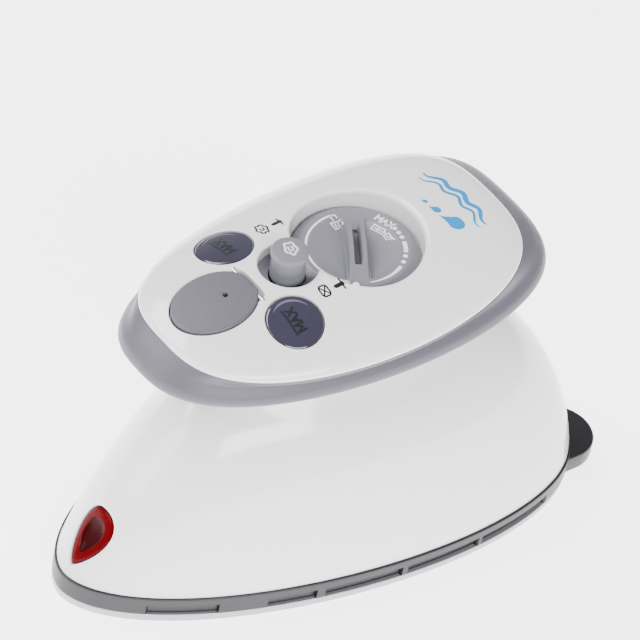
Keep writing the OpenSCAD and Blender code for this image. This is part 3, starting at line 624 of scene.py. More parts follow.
def drop_outline(grow, count=120):
    """An egg drawn to a soft point, as a leaf outline. The first number of a point runs down the
    slope towards the tip, the second across."""
    turns = even_angles(count, lambda a: leaf(a, LENS_TOP, LENS_TIP, LENS_HALF, LENS_P, LENS_Q))
    return leaf(turns[::-1], LENS_TOP - grow, LENS_TIP + grow, LENS_HALF + grow, LENS_P, LENS_Q)


def on_nose(drop_points, inset=0.0):
    """Lens points to the dome: across is the side place, down the slope gives the height."""
    z = LENS_AT[2] - drop_points[:, 0] * math.sin(LENS_SLOPE)
    return body_surface(body_plane(drop_points[:, 1], z, False), inset)


LENS_INWARD = np.array([math.sin(LENS_SLOPE), 0, -math.cos(LENS_SLOPE)])
SEAT_ROUND = 0.8
lens_rim = drop_outline(0.25 + SEAT_ROUND)
lens_loop = body_plane(lens_rim[:, 1], LENS_AT[2] - lens_rim[:, 0] * math.sin(LENS_SLOPE), False)
gland_ring = circle((0, 0), GLAND_HOLE, 72) * [1, math.cos(GLAND_TILT)] + [0, GLAND_AT[2]]
gland_loop = body_plane(gland_ring[:, 0], gland_ring[:, 1], True)
plane, faces, loop_ids = pierced(np.linspace(NECK_RHO, 1, BODY_RINGS), BODY_TURNS,
                                 [lens_loop, gland_loop], 0.012)
shell = flipped(compact(body_surface(plane), faces))
seat_rings = [on_nose(drop_outline(0.25 + SEAT_ROUND * (1 - math.sin(a)))) + LENS_INWARD * SEAT_ROUND
              * (1 - math.cos(a)) for a in quarter]
seat_rings.append(on_nose(drop_outline(0.25)) + LENS_INWARD * 2.6)
gland_seat = [body_surface(gland_loop), body_surface(gland_loop) - 2.0
              * np.array([math.cos(GLAND_TILT), 0, math.sin(GLAND_TILT)])]
foot = [body_at(body_angles, np.full(BODY_TURNS, SKIRT_TOP), i) for i in (0.0, 2.2)]
body_piece = to_mesh("body_dome", *joined(shell, strip(seat_rings), flipped(strip(gland_seat)),
                                          strip(foot)), white_gloss, "iron_body", 50.0)
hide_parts("body_shell")


# ---- the indicator lens ----
# A clear red drop of polycarbonate set a little below the dome, with a stepped inner facet that spreads
# the light of the neon lamp behind it. The facet is coloured a darker copy of the red: painted shade
# for the depth in the lens's middle.
red_lens = finish("red_lens", (0.10, 0.0, 0.002), (0.065, 0.0, 0.0015), 0.2, 700.0, 0.03, 0.4, 0.03,
                  Specular_IOR_Level=0.08)
# a darker copy of the lens red for the facet in its middle: painted shade
red_lens_painted_shade = finish("red_lens_painted_shade", (0.03, 0.0, 0.001), (0.02, 0.0, 0.001), 0.25, 700.0, 0.03, 0.4, 0.03,
                  Specular_IOR_Level=0.08)
LENS_SUNK = 0.55
LENS_MIDDLE = np.array([1.1, 0.0])


def lens_shell(shares, depths):
    """The drop shrunk about its middle by each share, laid on the dome and sunk by each depth."""
    return [on_nose(drop_outline(0.0) * s + LENS_MIDDLE * (1 - s)) + LENS_INWARD * d for s,
            d in zip(shares, depths)]


bezel_rings = lens_shell([1.0, 1.0, 0.985, 0.95, 0.86, 0.74, 0.62, 0.6],
                         [2.4, LENS_SUNK + 0.35, LENS_SUNK + 0.1, LENS_SUNK, LENS_SUNK,
                          LENS_SUNK + 0.02,
                                                               LENS_SUNK + 0.1, LENS_SUNK + 0.3])
lens_piece = to_mesh("indicator_lens_rim", *flipped(strip(bezel_rings)), red_lens, "iron_body", 25.0)
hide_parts("indicator_lens")
facet_rings = lens_shell([0.6, 0.5, 0.34, 0.1],
                         [LENS_SUNK + 0.3, LENS_SUNK + 0.75, LENS_SUNK + 0.95, LENS_SUNK + 1.0])
facet = joined(strip(facet_rings), fan(facet_rings[-1], facet_rings[-1].mean(0)))
# the facet takes the darker red, painted shade for the lens's deep middle
facet_piece = to_mesh("indicator_lens_facet", *flipped(facet), red_lens_painted_shade, "iron_body", 25.0)


# ---- the cord gland ----
# A black rubber bush pressed into the heel of the body, square to the dome there. The mains cord
# would pass through it.
CORD_R = 3.3
GLAND_R = 6.0
GLAND_LENGTH = 8.0
rubber = finish("rubber_black", (0.02, 0.02, 0.022), (0.035, 0.035, 0.035), 0.55, 2400.0, 0.4, 0.4, 0.1)


def turned(profile, count=72):
    """A profile of (radius, height) pairs turned about Z."""
    a = np.linspace(0, 2 * np.pi, count, endpoint=False)
    return [np.column_stack([r * np.cos(a), r * np.sin(a), np.full(count, z)]) for r, z in profile]


def at_gland(points):
    """Z turned from upright to the gland's axis, and the origin moved to its mouth."""
    x, y, z = np.asarray(points).T
    s, c = math.sin(GLAND_TILT), math.cos(GLAND_TILT)
    return GLAND_AT + np.column_stack([-x * s + z * c, y, x * c + z * s])


gland_profile = [(CORD_R, -GLAND_LENGTH), (CORD_R, -0.1), (CORD_R + 0.15, 0.4), (CORD_R + 0.5, 0.7),
                 (CORD_R + 0.9, 0.78),
                 (GLAND_R - 0.9, 0.78), (GLAND_R - 0.35, 0.65), (GLAND_R - 0.05, 0.35), (GLAND_R, 0.0),
                 (GLAND_R, -GLAND_LENGTH)]
gland_rings = turned(gland_profile)
gland_floor = fan(gland_rings[0], (0, 0, -GLAND_LENGTH))
gland_points, gland_faces = joined(strip(gland_rings), gland_floor)
gland_piece = to_mesh("cord_gland_bush", at_gland(gland_points), gland_faces, rubber, "iron_body", 30.0)
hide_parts("cord_gland")


# ---- the side plugs ----
# Four round white plugs close the holes over the body's mould pins. They sit flush and show only
# as faint rings.
PLUG_R = 4.4
PLUG_PLACES = (((-64.1, 14.8, 26.5), -44.0, -38.0, False), ((40.4, 26.8, 42.9), -52.0, 12.0, True))
PLUG_LIFT = 0.05


def plug_rings(place, lean, swing, heel, side):
    """Rings of a disc that lies on the dome: each ring is drawn in the plug's own plane and laid on
    the dome at the same side place and height, a hair above it and just under it at its edge."""
    turn = Matrix.Rotation(math.radians(swing), 3, "Y") @ Matrix.Rotation(math.radians(lean * side), 3,
                                                                          "X")
    across, along = np.array(turn.col[0]), np.array(turn.col[1])
    rings = []
    for share, lift in ((1.0, -0.05), (0.985, 0.6 * PLUG_LIFT), (0.95, PLUG_LIFT), (0.75, PLUG_LIFT),
                        (0.4, PLUG_LIFT), (0.05, PLUG_LIFT)):
        flat = circle((0, 0), PLUG_R * share, 56)
        spots = np.array(place) * [1, side, 1] + flat[:, :1] * across + flat[:, 1:] * along
        rings.append(body_surface(body_plane(spots[:, 1], spots[:, 2], heel)) + lift
                     * np.array(turn.col[2]))
    return rings


plug_parts = []
for place, lean, swing, heel in PLUG_PLACES:
    for side in (-1, 1):
        rings = plug_rings(place, lean, swing, heel, side)
        plug_parts += [strip(rings), fan(rings[-1], rings[-1].mean(0))]
plug_piece = to_mesh("side_plug_discs", *joined(*plug_parts), white_gloss, "iron_body", 30.0)
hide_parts("side_plugs")


# ---- the grip shell ----
# A satin grey bowl like the cap of a mushroom, screwed to the neck. Its rounded rim stands out
# round the white cover, and three screws go up into the cover from below.
COVER_FRONT, COVER_REAR, COVER_HALF = -64.9, 41.3, 33.1
COVER_MID = (COVER_FRONT + COVER_REAR) / 2
COVER_RISE, SIDE_DROP = 6.9, 4.8
RIM_FRONT, RIM_REAR, RIM_HALF = -72.0, 49.2, 33.9
GRIP_TURNS = 360
BOWL_RHO = 0.3
COVER_SCREWS = ((37.5, 0.0), (-20.0, 25.0), (-20.0, -25.0))
SCREW_WELL_R = 2.9
SCREW_WELL_TOP = -9.0


def from_grip(points):
    """Grip points, whose Z is square to the rim, tilted down towards the nose and lifted in place."""
    x, y, z = np.asarray(points, float).T
    s, c = math.sin(GRIP_TILT), math.cos(GRIP_TILT)
    return np.column_stack([x * c - z * s, y, GRIP_Z + x * s + z * c])


def cover_leaf(angle, grow=0.0):
    """The cover's outline at leaf angles."""
    return leaf(angle, COVER_FRONT - grow, COVER_REAR + grow, COVER_HALF + grow, 0.357, 0.279)


def rim_ring(angle, inset, z, bend):
    """A ring of the bowl: a leaf drawn in from the rim, whose sides hang down by the side drop."""
    flat = leaf(angle, RIM_FRONT + inset, RIM_REAR - inset, RIM_HALF - inset, 0.385, 0.25)
    return np.column_stack([flat, z - SIDE_DROP * bend * (flat[:, 1] / RIM_HALF) ** 2])


def neck_ring(angle, grow, z):
    """A ring round the neck."""
    return level(leaf(angle, -34.4 - grow, 30.2 + grow, NECK_HALF + grow, 0.45, 0.42), z)


def seam_ring(angle, grow, drop):
    """The cover's outline, grown and dropped from the cover's own edge."""
    flat = cover_leaf(angle, grow)
    return np.column_stack([flat, -SIDE_DROP * (flat[:, 1] / COVER_HALF) ** 2 - drop])


def bowl_controls(angle):
    """The rings that the bowl passes through, from the neck out to the seam."""
    return np.array([neck_ring(angle, 2, UNDER_Z), neck_ring(angle, 4, -15.1),
                     rim_ring(angle, 12, -13, 0.4), rim_ring(angle, 5, -11.2, 0.75),
                     rim_ring(angle, 1.6, -9.3, 0.93), rim_ring(angle, 0.05, -6.9, 1),
                     rim_ring(angle, 0.5, -5.3, 1),
                     rim_ring(angle, 2.6, -3.0, 1), seam_ring(angle, 0.12, 0.25)])


grip_angles = even_angles(GRIP_TURNS, cover_leaf)
bowl_knots = np.concatenate([[0],
                             np.cumsum(np.linalg.norm(np.diff(bowl_controls(grip_angles), axis=0),
                                                      axis=2).mean(1))])


def bowl_surface(plane_points):
    """The radius runs from the neck to the seam along a curve that passes through every control
    ring with the slope of its neighbours (a Catmull-Rom spline); the turn gives the leaf angle."""
    turns = np.mod(np.arctan2(plane_points[:, 1], plane_points[:, 0]),
                   2 * np.pi) / (2 * np.pi) * GRIP_TURNS
    angle = np.interp(turns, np.arange(GRIP_TURNS + 1), np.append(grip_angles, 2 * np.pi))
    ring = bowl_controls(angle)
    slope = np.gradient(ring, bowl_knots, axis=0)
    way = np.clip((np.hypot(*plane_points.T) - BOWL_RHO) / (1 - BOWL_RHO), 0, 1) * bowl_knots[-1]
    k = np.clip(np.searchsorted(bowl_knots, way, side="right") - 1, 0, len(bowl_knots) - 2)
    span = bowl_knots[k + 1] - bowl_knots[k]
    t = ((way - bowl_knots[k]) / span)[:, None]
    span, every = span[:, None], np.arange(len(way))
    return ((2 * t ** 3 - 3 * t ** 2 + 1) * ring[k, every] + (t ** 3 - 2 * t ** 2 + t) * span
            * slope[k, every]
            + (3 * t ** 2 - 2 * t ** 3) * ring[k + 1, every] + (t ** 3 - t ** 2) * span
            * slope[k + 1, every])


def plane_under(surface, targets, rho_low, rho_high):
    """The plane points that a surface sends over the places x, y: from the nearest of a coarse
    grid, by Newton's steps with slopes taken over a small step."""
    rho, turn = np.meshgrid(np.linspace(rho_low, rho_high, 60), np.linspace(0, 2 * np.pi, 181)[:-1])
    coarse = np.column_stack([(rho * np.cos(turn)).ravel(), (rho * np.sin(turn)).ravel()])
    laid = surface(coarse)[:, :2]
    spot = coarse[((targets[:, None, :] - laid[None]) ** 2).sum(2).argmin(1)]
    small = 1e-5
    for _ in range(12):
        here = surface(spot)[:, :2]
        sx = (surface(spot + [small, 0])[:, :2] - here) / small
        sy = (surface(spot + [0, small])[:, :2] - here) / small
        miss = targets - here
        det = sx[:, 0] * sy[:, 1] - sx[:, 1] * sy[:, 0]
        spot = spot + np.column_stack([miss[:, 0] * sy[:, 1] - miss[:, 1] * sy[:, 0],
                                       sx[:, 0] * miss[:, 1] - sx[:, 1] * miss[:, 0]]) / det[:, None]
    return spot


well_loops = [circle(place, SCREW_WELL_R + 0.3, 48) for place in COVER_SCREWS]
well_planes = [plane_under(bowl_surface, loop, BOWL_RHO + 0.02, 0.75) for loop in well_loops]
plane, faces, loop_ids = pierced(np.linspace(BOWL_RHO, 1, 110), GRIP_TURNS, well_planes, 0.006)
grip_parts = [compact(bowl_surface(plane), faces)]
for place, loop, spots in zip(COVER_SCREWS, well_loops, well_planes):
    mouth = bowl_surface(spots)
    wall_low = np.column_stack([circle(place, SCREW_WELL_R, 48), mouth[:, 2] + 0.3])
    well = [mouth, wall_low, level(circle(place, SCREW_WELL_R, 48), SCREW_WELL_TOP)]
    grip_parts.append(flipped(strip(well)))
    grip_parts.append(flipped(strip([well[-1], level(circle(place, 1.25, 48), SCREW_WELL_TOP)])))
seam_in = [seam_ring(grip_angles, 0.12, 0.25), seam_ring(grip_angles, 0.02, 0.45),
           seam_ring(grip_angles, -0.1, 1.3), seam_ring(grip_angles, -2.5, 1.4)]
grip_parts.append(strip(seam_in))
neck_ledge = [neck_ring(grip_angles, -2.5, UNDER_Z), neck_ring(grip_angles, 2, UNDER_Z)]
grip_parts.append(strip(neck_ledge))
grip_points, grip_faces = joined(*grip_parts)
grip_piece = to_mesh("grip_bowl", from_grip(grip_points), grip_faces, grip_grey, "iron_body", 42.0)
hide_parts("grip_shell")


# ---- the top cover ----
# A glossy white shield over the bowl. It has wells with soft lips for the dial and the button,
# which run into each other, a pocket for the filler cap and seats for two windows.
DIAL_X, DIAL_R, DIAL_FACE, DIAL_FLOOR = -2.9, 16.9, 1.1, -3.4
WELL_R = DIAL_R + 0.9
BUTTON_R = 4.7
BUTTON_X = DIAL_X - DIAL_R - BUTTON_R - 0.8
BUTTON_WELL_R = 8.0
BUTTON_FLOOR = -1.0
CAP_X, CAP_TILT, CAP_L, CAP_W, CAP_T = BUTTON_X - 23.2, math.radians(-7), 24.2, 18.8, 2.2
SWING_X, SWING_HALF = CAP_L / 2 + 0.3, 6.35
WINDOW_AT = (BUTTON_X - 9.0, 15.6)
WINDOW_R = 7.8
WELL_LIP, WELL_LIP_FRONT, CAP_LIP, WINDOW_LIP = 1.7, 0.5, 0.35, 0.3
GAP = 0.25
cover_line = cover_leaf(grip_angles)
cover_middle = np.array([COVER_MID, 0.0])


def crown(radius, y):
    """The cover's height: it rises like a superellipse from its edge, and its sides hang down."""
    return COVER_RISE * (1 - np.clip(radius, 0, 1) ** 2) ** 0.546 - SIDE_DROP * (y / COVER_HALF) ** 2


def cover_height(places):
    """The cover's height over places x, y of the grip."""
    return crown(np.hypot(*plane_to_disc(places, cover_line, cover_middle).T), places[:, 1])


def on_cover(places, lift=0.0):
    """Places x, y of the grip laid on the cover, lifted a little."""
    return np.column_stack([places, cover_height(places) + lift])


def arc(centre, radius, start, end, count):
    """An arc as plane points, both ends included."""
    a = np.linspace(start, end, count)
    return np.asarray(centre) + radius * np.stack([np.cos(a), np.sin(a)], -1)


def wells_line(grow):
    """The dial's well and the button's well as one outline: two arcs that meet where the
    circles cross."""
    big, small, apart = WELL_R + grow, BUTTON_WELL_R + grow, DIAL_X - BUTTON_X
    along = (big ** 2 - small ** 2 + apart ** 2) / (2 * apart)
    half = math.sqrt(big ** 2 - along ** 2)
    big_turn, small_turn = math.atan2(half, -along), math.atan2(half, apart - along)
    return np.vstack([arc((DIAL_X, 0), big, -big_turn, big_turn, 150)[:-1],
                      arc((BUTTON_X, 0), small, small_turn, 2 * np.pi - small_turn, 70)[:-1]])


def wells_outline(share):
    """The wells' outline let out by a share of the lip, which is sharp towards the nose and soft
    towards the heel."""
    soft = well_softness()[:, None]
    return wells_line(share * WELL_LIP_FRONT) * (1 - soft) + wells_line(share * WELL_LIP) * soft


def well_softness():
    """From 0 at the nose side of the dial to 1 at its heel side."""
    line = wells_line(0.0) - [DIAL_X, 0]
    return 0.5 + 0.5 * line[:, 0] / np.hypot(*line.T)


def cap_outline(grow, count=96):
    """An ellipse in the cap's own plane."""
    a = np.linspace(0, 2 * np.pi, count, endpoint=False)
    return np.stack([(CAP_L / 2 + grow) * np.cos(a), (CAP_W / 2 + grow) * np.sin(a)], -1)


def cap_pocket(grow, count=360):
    """The cap's ellipse, let out to a square end behind the pin where the cap's corners swing."""
    a = np.linspace(-np.pi, np.pi, count, endpoint=False)
    c, s = np.cos(a), np.abs(np.sin(a))
    round_end = 1 / np.hypot(c / (CAP_L / 2 + grow), s / (CAP_W / 2 + grow))
    extra = grow - GAP
    corner = (np.clip(c, 1e-6, None) / (SWING_X + extra)) ** 8 + (s / (SWING_HALF + extra)) ** 8
    square_end = corner ** -0.125
    turn_away = math.atan2(SWING_HALF, CAP_L / 2 - 1.6)
    fade = np.clip((turn_away * 1.25 - np.abs(a)) / (turn_away * 0.25), 0, 1)
    away = round_end + np.clip(square_end - round_end, 0, None) * fade * fade * (3 - 2 * fade)
    return np.stack([away * np.cos(a), away * np.sin(a)], -1)


cap_top = float(cover_height(np.array([[CAP_X, 0.0]]))[0])


def at_cap(points):
    """The cap's own points tilted with the cap and moved to its place on the grip."""
    x, y, z = np.asarray(points, float).T
    s, c = math.sin(CAP_TILT), math.cos(CAP_TILT)
    return np.column_stack([CAP_X + x * c + z * s, y, cap_top - x * s + z * c])


def cap_hole(grow):
    """The cap's pocket as seen from above."""
    return at_cap(level(cap_pocket(grow), 0.0))[:, :2]


def window_hole(side, grow):
    """A window's seat as seen from above: its circle leans with the cover."""
    return circle((0, 0), WINDOW_R + grow, 80) * [math.cos(math.radians(3)),
                                                  math.cos(math.radians(15))] + [WINDOW_AT[0],
                                                                                 side * WINDOW_AT[1]]


def lip_and_wall(outline, lip, floor):
    """A rounded lip that turns down a quarter circle from the cover, and the wall under it."""
    rings = []
    for a in np.linspace(0, np.pi / 2, 9):
        places = outline(1 - math.sin(a))
        rings.append(np.column_stack([places, cover_height(places) - lip * (1 - math.cos(a))]))
    rings.append(np.column_stack([rings[-1][:, :2],
                                  np.full(len(rings[-1]), float(floor)) if np.isscalar(floor)
                                  else floor]))
    return flipped(strip(rings))


well_lip = WELL_LIP_FRONT + (WELL_LIP - WELL_LIP_FRONT) * well_softness()
hole_lips = [(wells_outline, well_lip, BUTTON_FLOOR),
             (lambda share: cap_hole(GAP + CAP_LIP * share), CAP_LIP, None),
             (lambda share: window_hole(1, 0.1 + WINDOW_LIP * share), WINDOW_LIP, None),
             (lambda share: window_hole(-1, 0.1 + WINDOW_LIP * share), WINDOW_LIP, None)]
hole_planes = [plane_to_disc(outline(1.0), cover_line, cover_middle) for outline, lip, _ in hole_lips]
plane, faces, loop_ids = pierced(np.sin(np.linspace(0, np.pi / 2, 75)), GRIP_TURNS, hole_planes, 0.008)
flat = disc_to_plane(plane, cover_line, cover_middle)
cover_points = np.column_stack([flat, crown(np.hypot(*plane.T), flat[:, 1])])
cover_parts = [compact(cover_points, faces)]
for outline, lip, floor in hole_lips:
    floor = cover_height(outline(0.0)) - 3.2 if floor is None else floor
    cover_parts.append(lip_and_wall(outline, lip, floor))
cap_floor = level(cap_pocket(GAP), -CAP_T - 0.35)
cover_parts.append((at_cap(np.vstack([cap_floor, [(0, 0, -CAP_T - 0.35)]])),
                    fan(cap_floor, (0, 0, 0))[1]))
dial_wall = [level(circle((DIAL_X, 0), WELL_R, 150), z) for z in (BUTTON_FLOOR + 0.02, DIAL_FLOOR)]
cover_parts += [flipped(strip(dial_wall)), fan(dial_wall[1], (DIAL_X, 0, DIAL_FLOOR))]
edge_rings = [seam_ring(grip_angles, g, d) for g,
              d in ((-2.0, 1.2), (-0.12, 1.2), (-0.1, 0.35), (-0.03, 0.12), (0.0, 0.0))]
cover_parts.append(strip(edge_rings))
cover_points, cover_faces = joined(*cover_parts)
cover_piece = to_mesh("cover_shield", from_grip(cover_points), cover_faces, white_gloss, "iron_body",
                      40.0)
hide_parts("top_cover")

# a small raised pip on the well's lip that the dial's scale is read against
PIP_AT = (-14.0, -14.4)
PIP_R = 1.0
pip_rings = [on_cover(circle(PIP_AT, PIP_R * math.cos(a), 32), 0.55 * math.sin(a) - 0.12)
             for a in np.linspace(0, 1.45, 7)]
pip_points, pip_faces = joined(strip(pip_rings), fan(pip_rings[-1], pip_rings[-1].mean(0)))
pip_piece = to_mesh("scale_pip", from_grip(pip_points), pip_faces, white_gloss, "iron_body", 60.0)


# ---- the temperature dial ----
# A grey disc on the thermostat's shaft. Its face is scooped out on both sides of a level strip,
# and two thin ridges with a slot between them stand on the strip as the grip.
BAR_TURN = math.radians(58)
DISH_DEPTH = 1.3
DISH_R = 12.0
STRIP_HALF = 3.1
RIDGE_IN, RIDGE_OUT = 0.85, 2.65
RIDGE_START, RIDGE_END, RIDGE_HIGH = -12.8, 6.7, 3.6
SLOT_START = -8.0
SLOT_DROP = 0.9
DIAL_FLAT_R = DIAL_R - 2.5
DIAL_BEVEL = 1.4
DIAL_DEEP = 4.0


def dial_height(u, v):
    """The face over places along and across the bar. The scoops are deepest beside the strip and
    come up like a parabola at the scoop's radius. A ridge rises along a quarter sine, ends in a
    quarter round, and has rounded shoulders; the slot drops between the ridges."""
    across = np.abs(v)
    reach = np.sqrt(np.clip(DISH_R ** 2 - u ** 2, 1e-6, None))
    scoop = DISH_DEPTH * np.clip(1 - (across / reach) ** 2, 0,
                                 1) * np.clip((across - STRIP_HALF) / 0.25, 0, 1)
    way = (u - RIDGE_START) / (RIDGE_END - RIDGE_START)
    lift = np.sin(np.clip(way / 0.62, 0, 1) * np.pi
                  / 2) ** 1.4 * np.sqrt(np.clip(1 - np.clip((way - 0.92) / 0.08, 0, 1) ** 2, 0, 1))
    ridge = RIDGE_HIGH * np.where((way > 0) & (way < 1), lift, 0)
    shoulder = np.sqrt(np.clip(1 - np.clip((across - RIDGE_OUT + 0.4) / 0.4, 0, 1) ** 2, 0, 1))
    inner = np.sqrt(np.clip(1 - np.clip((RIDGE_IN + 0.3 - across) / 0.3, 0, 1) ** 2, 0, 1))
    in_slot = np.clip((u - SLOT_START) / 1.5, 0, 1) * np.where(u < RIDGE_END, 1, 0)
    open_slot = np.where(across < RIDGE_IN, in_slot, 0)
    return DIAL_FACE - scoop + ridge * shoulder * np.where(across < RIDGE_IN + 0.3,
                                                           1 - (1 - inner) * in_slot,
                                                           1) * (1 - open_slot) - SLOT_DROP * open_slot


face_r = DIAL_FLAT_R
v_half = np.concatenate([[0, 0.4, 0.8, 0.87, 0.93, 1.0, 1.15, 1.7, 2.24, 2.4, 2.5, 2.58, 2.63, 2.66,
                          2.9, 3.1, 3.22, 3.36],
                         face_r * np.sin(np.linspace(math.asin(3.6 / face_r), np.pi / 2, 40))])
v_lines = np.concatenate([-v_half[:0:-1], v_half])
u_shares = np.unique(np.concatenate([np.sin(np.linspace(-np.pi / 2, np.pi / 2, 110)),
                                     RIDGE_END / face_r
                                     + np.array([-0.07, -0.05, -0.03, -0.016, -0.008, -0.003, 0,
                                                 0.002]),
                                     (SLOT_START + np.array([0, 0.4, 0.8, 1.2, 1.5])) / face_r]))
v_grid, share_grid = np.meshgrid(v_lines, u_shares, indexing="ij")
u_grid = share_grid * np.sqrt(np.clip(face_r ** 2 - v_grid ** 2, 0, None))
z_grid = dial_height(u_grid, v_grid)


def turn_bar(u, v, z):
    """Places along and across the bar turned to the bar's rest angle and moved to the dial's middle."""
    s, c = math.sin(BAR_TURN), math.cos(BAR_TURN)
    return np.column_stack([DIAL_X + np.ravel(u) * c - np.ravel(v) * s,
                            np.ravel(u) * s + np.ravel(v) * c, np.ravel(z)])


rows = [turn_bar(u_grid[k], v_grid[k], z_grid[k]) for k in range(len(v_lines))]
face_part = flipped(strip(rows, closed=False))
rim_u = np.concatenate([u_grid[:, -1], u_grid[::-1, 0][1:-1]])
rim_v = np.concatenate([v_lines, v_lines[::-1][1:-1]])
rim_profile = ((face_r, 0.0), (face_r + 0.15, 0.03), (face_r + 0.4, 0.16),
               (DIAL_R - 0.3, DIAL_BEVEL - 0.06), (DIAL_R - 0.1, DIAL_BEVEL + 0.08),
               (DIAL_R, DIAL_BEVEL + 0.35))
rim_scale = [(r / face_r, drop) for r, drop in rim_profile]
rim_rings = [turn_bar(rim_u * g, rim_v * g, np.full(len(rim_u), DIAL_FACE - d)) for g, d in rim_scale]
rim_rings.append(turn_bar(rim_u * rim_scale[-1][0], rim_v * rim_scale[-1][0],
                          np.full(len(rim_u), DIAL_FACE - DIAL_DEEP)))
dial_points, dial_faces = joined(face_part, strip(rim_rings),
                                 flipped(fan(rim_rings[-1], (DIAL_X, 0, DIAL_FACE - DIAL_DEEP))))
dial_piece = to_mesh("dial_knob", from_grip(dial_points), dial_faces, control_grey, "dial", 35.0)
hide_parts("temperature_dial")


# ---- the dial's marks ----
# White pad print on the dial: a line that grows from the cool end, dots and dashes for the heats,
# MAX at the hot end and two small pictures. Each stroke is a thin film on the face.
print_white = finish("print_white", (0.86, 0.86, 0.88), (0.78, 0.78, 0.80), 0.35, 1500.0, 0.05, 0.2,
                     0.05)
PRINT_LIFT = 0.035
MARK_R = 13.1


def ribbon(points, widths):
    """A flat band along plane points: each point is moved square to the way, half a width each side."""
    points = np.asarray(points, float)
    way = np.gradient(points, axis=0)
    square = np.column_stack([-way[:, 1], way[:, 0]]) / np.hypot(*way.T)[:, None]
    half = np.broadcast_to(np.asarray(widths, float) / 2, len(points))[:, None]
    return strip([points - square * half, points + square * half], closed=False)


def strokes(lines, width, steps=6):
    """Straight strokes, each cut into short steps so that it can lie on a curved face."""
    made = []
    for start, end in lines:
        start, end = np.asarray(start, float), np.asarray(end, float)
        reach = (end - start) / np.hypot(*(end - start)) * width / 2
        made.append(ribbon(start - reach + (end - start + 2 * reach)
                           * np.linspace(0, 1, steps)[:, None], width))
    return made


def placed(parts, middle, up, scale=1.0):
    """Flat parts turned so that their second axis points along up, scaled and moved."""
    up = np.asarray(up, float) / np.hypot(*up)
    along = np.array([up[1], -up[0]])
    return [(np.asarray(middle) + scale * (p[:, :1] * along + p[:, 1:2] * up), f) for p, f in parts]


def chain(points, width, closed=False):
    """A band along a smooth curve through plane points, joined up if it is closed."""
    points = np.asarray(points, float)
    return ribbon(np.vstack([points, points[:2]]) if closed else points, width)


LETTERS = {"M": [((0, 0), (0, 1)), ((0, 1), (0.42, 0.3)), ((0.42, 0.3), (0.84, 1)),
                 ((0.84, 1), (0.84, 0))],
           "A": [((0, 0), (0.4, 1)), ((0.4, 1), (0.8, 0)), ((0.16, 0.36), (0.64, 0.36))],
           "X": [((0, 0), (0.74, 1)), ((0, 1), (0.74, 0))]}


def word_max(height, width):
    """The word MAX in straight strokes, centred on its middle."""
    made, pen = [], -1.45
    for letter in "MAX":
        made += strokes([((pen + a[0], a[1] - 0.5), (pen + b[0], b[1] - 0.5)) for a,
                         b in LETTERS[letter]], width / height)
        pen += 1.06
    return [(p * height, f) for p, f in made]


def film(parts, height_at, lift=PRINT_LIFT):
    """Flat parts laid on a face whose height over x, y is given."""
    points, faces = joined(*parts)
    return from_grip(np.column_stack([points, height_at(points) + lift])), faces


def dial_face_height(places):
    """The dial's face over places of the grip."""
    s, c = math.sin(BAR_TURN), math.cos(BAR_TURN)
    x, y = places[:, 0] - DIAL_X, places[:, 1]
    return dial_height(x * c + y * s, -x * s + y * c)


def dial_arc(start, end, wide_start, wide_end, radius=MARK_R):
    """A band round the dial between two turns in degrees, from one width to another."""
    return ribbon(arc((DIAL_X, 0), radius, math.radians(start), math.radians(end), 40),
                  np.linspace(wide_start, wide_end, 40))


def dot(turn_degrees, radius, size):
    """A round dot on the dial."""
    turn_here = math.radians(turn_degrees)
    ring = circle((DIAL_X + radius * math.cos(turn_here), radius * math.sin(turn_here)), size, 24)
    return fan(ring, ring.mean(0))


marks = [dial_arc(84, 226, 0.62, 0.62), dial_arc(250, 297, 0.35, 1.05), dial_arc(321, 339, 1.15, 1.15)]
marks += [dot(turn_here, MARK_R, 0.66) for turn_here in (305, 315, 346, 354, 362)]
max_turn = math.radians(17)
def dial_spot(radius, turn):
    """A place on the dial face: the given radius from the shaft, at the given turn."""
    return (DIAL_X + radius * math.cos(turn), radius * math.sin(turn))


marks += placed(word_max(1.85, 0.5), dial_spot(13.0, max_turn),
                (math.cos(max_turn), math.sin(max_turn)))
cup = strokes([((-1.5, 1.0), (-1.1, -1.1)), ((-1.1, -1.1), (1.1, -1.1)), ((1.1, -1.1), (1.5, 1.0)),
               ((1.5, 1.0), (-1.5, 1.0)),
               ((-0.5, 0.5), (-0.4, -0.5)), ((0.5, 0.5), (0.4, -0.5)), ((-0.4, 1.6), (-0.9, 2.9)),
               ((-0.9, 2.9), (0.7, 3.1)), ((0.7, 3.1), (0.9, 1.9))], 0.4)
marks += placed(cup, dial_spot(10.0, math.radians(82)), (0.1, 1.0))
weave = strokes([((-1.8, -0.8), (1.8, -0.8)), ((1.8, -0.8), (1.8, 0.8)), ((1.8, 0.8), (-1.8, 0.8)),
                 ((-1.8, 0.8), (-1.8, -0.8)),
                 ((-1.1, 0.0), (-0.3, 0.0)), ((0.4, 0.0), (1.2, 0.0)), ((0, -0.8), (0, 0.8))], 0.34)
marks += placed(weave, dial_spot(10.0, max_turn), (math.cos(max_turn), math.sin(max_turn)))
flax_turn = math.radians(-4)
flax = strokes([((-1.0, -0.7), (0.8, -0.9)), ((0.8, -0.9), (1.2, 0.7)), ((1.2, 0.7), (-0.8, 0.8)),
                ((-0.8, 0.8), (-1.0, -0.7)),
                ((-1.7, 0.2), (-0.9, 0.1)), ((1.1, 0.2), (1.9, 0.9)), ((-0.2, -0.3), (0.5, 0.3))], 0.34)
marks += placed(flax, dial_spot(10.0, flax_turn), (math.cos(flax_turn), math.sin(flax_turn)))
marks_piece = to_mesh("dial_marks", *film(marks, dial_face_height), print_white, "dial")


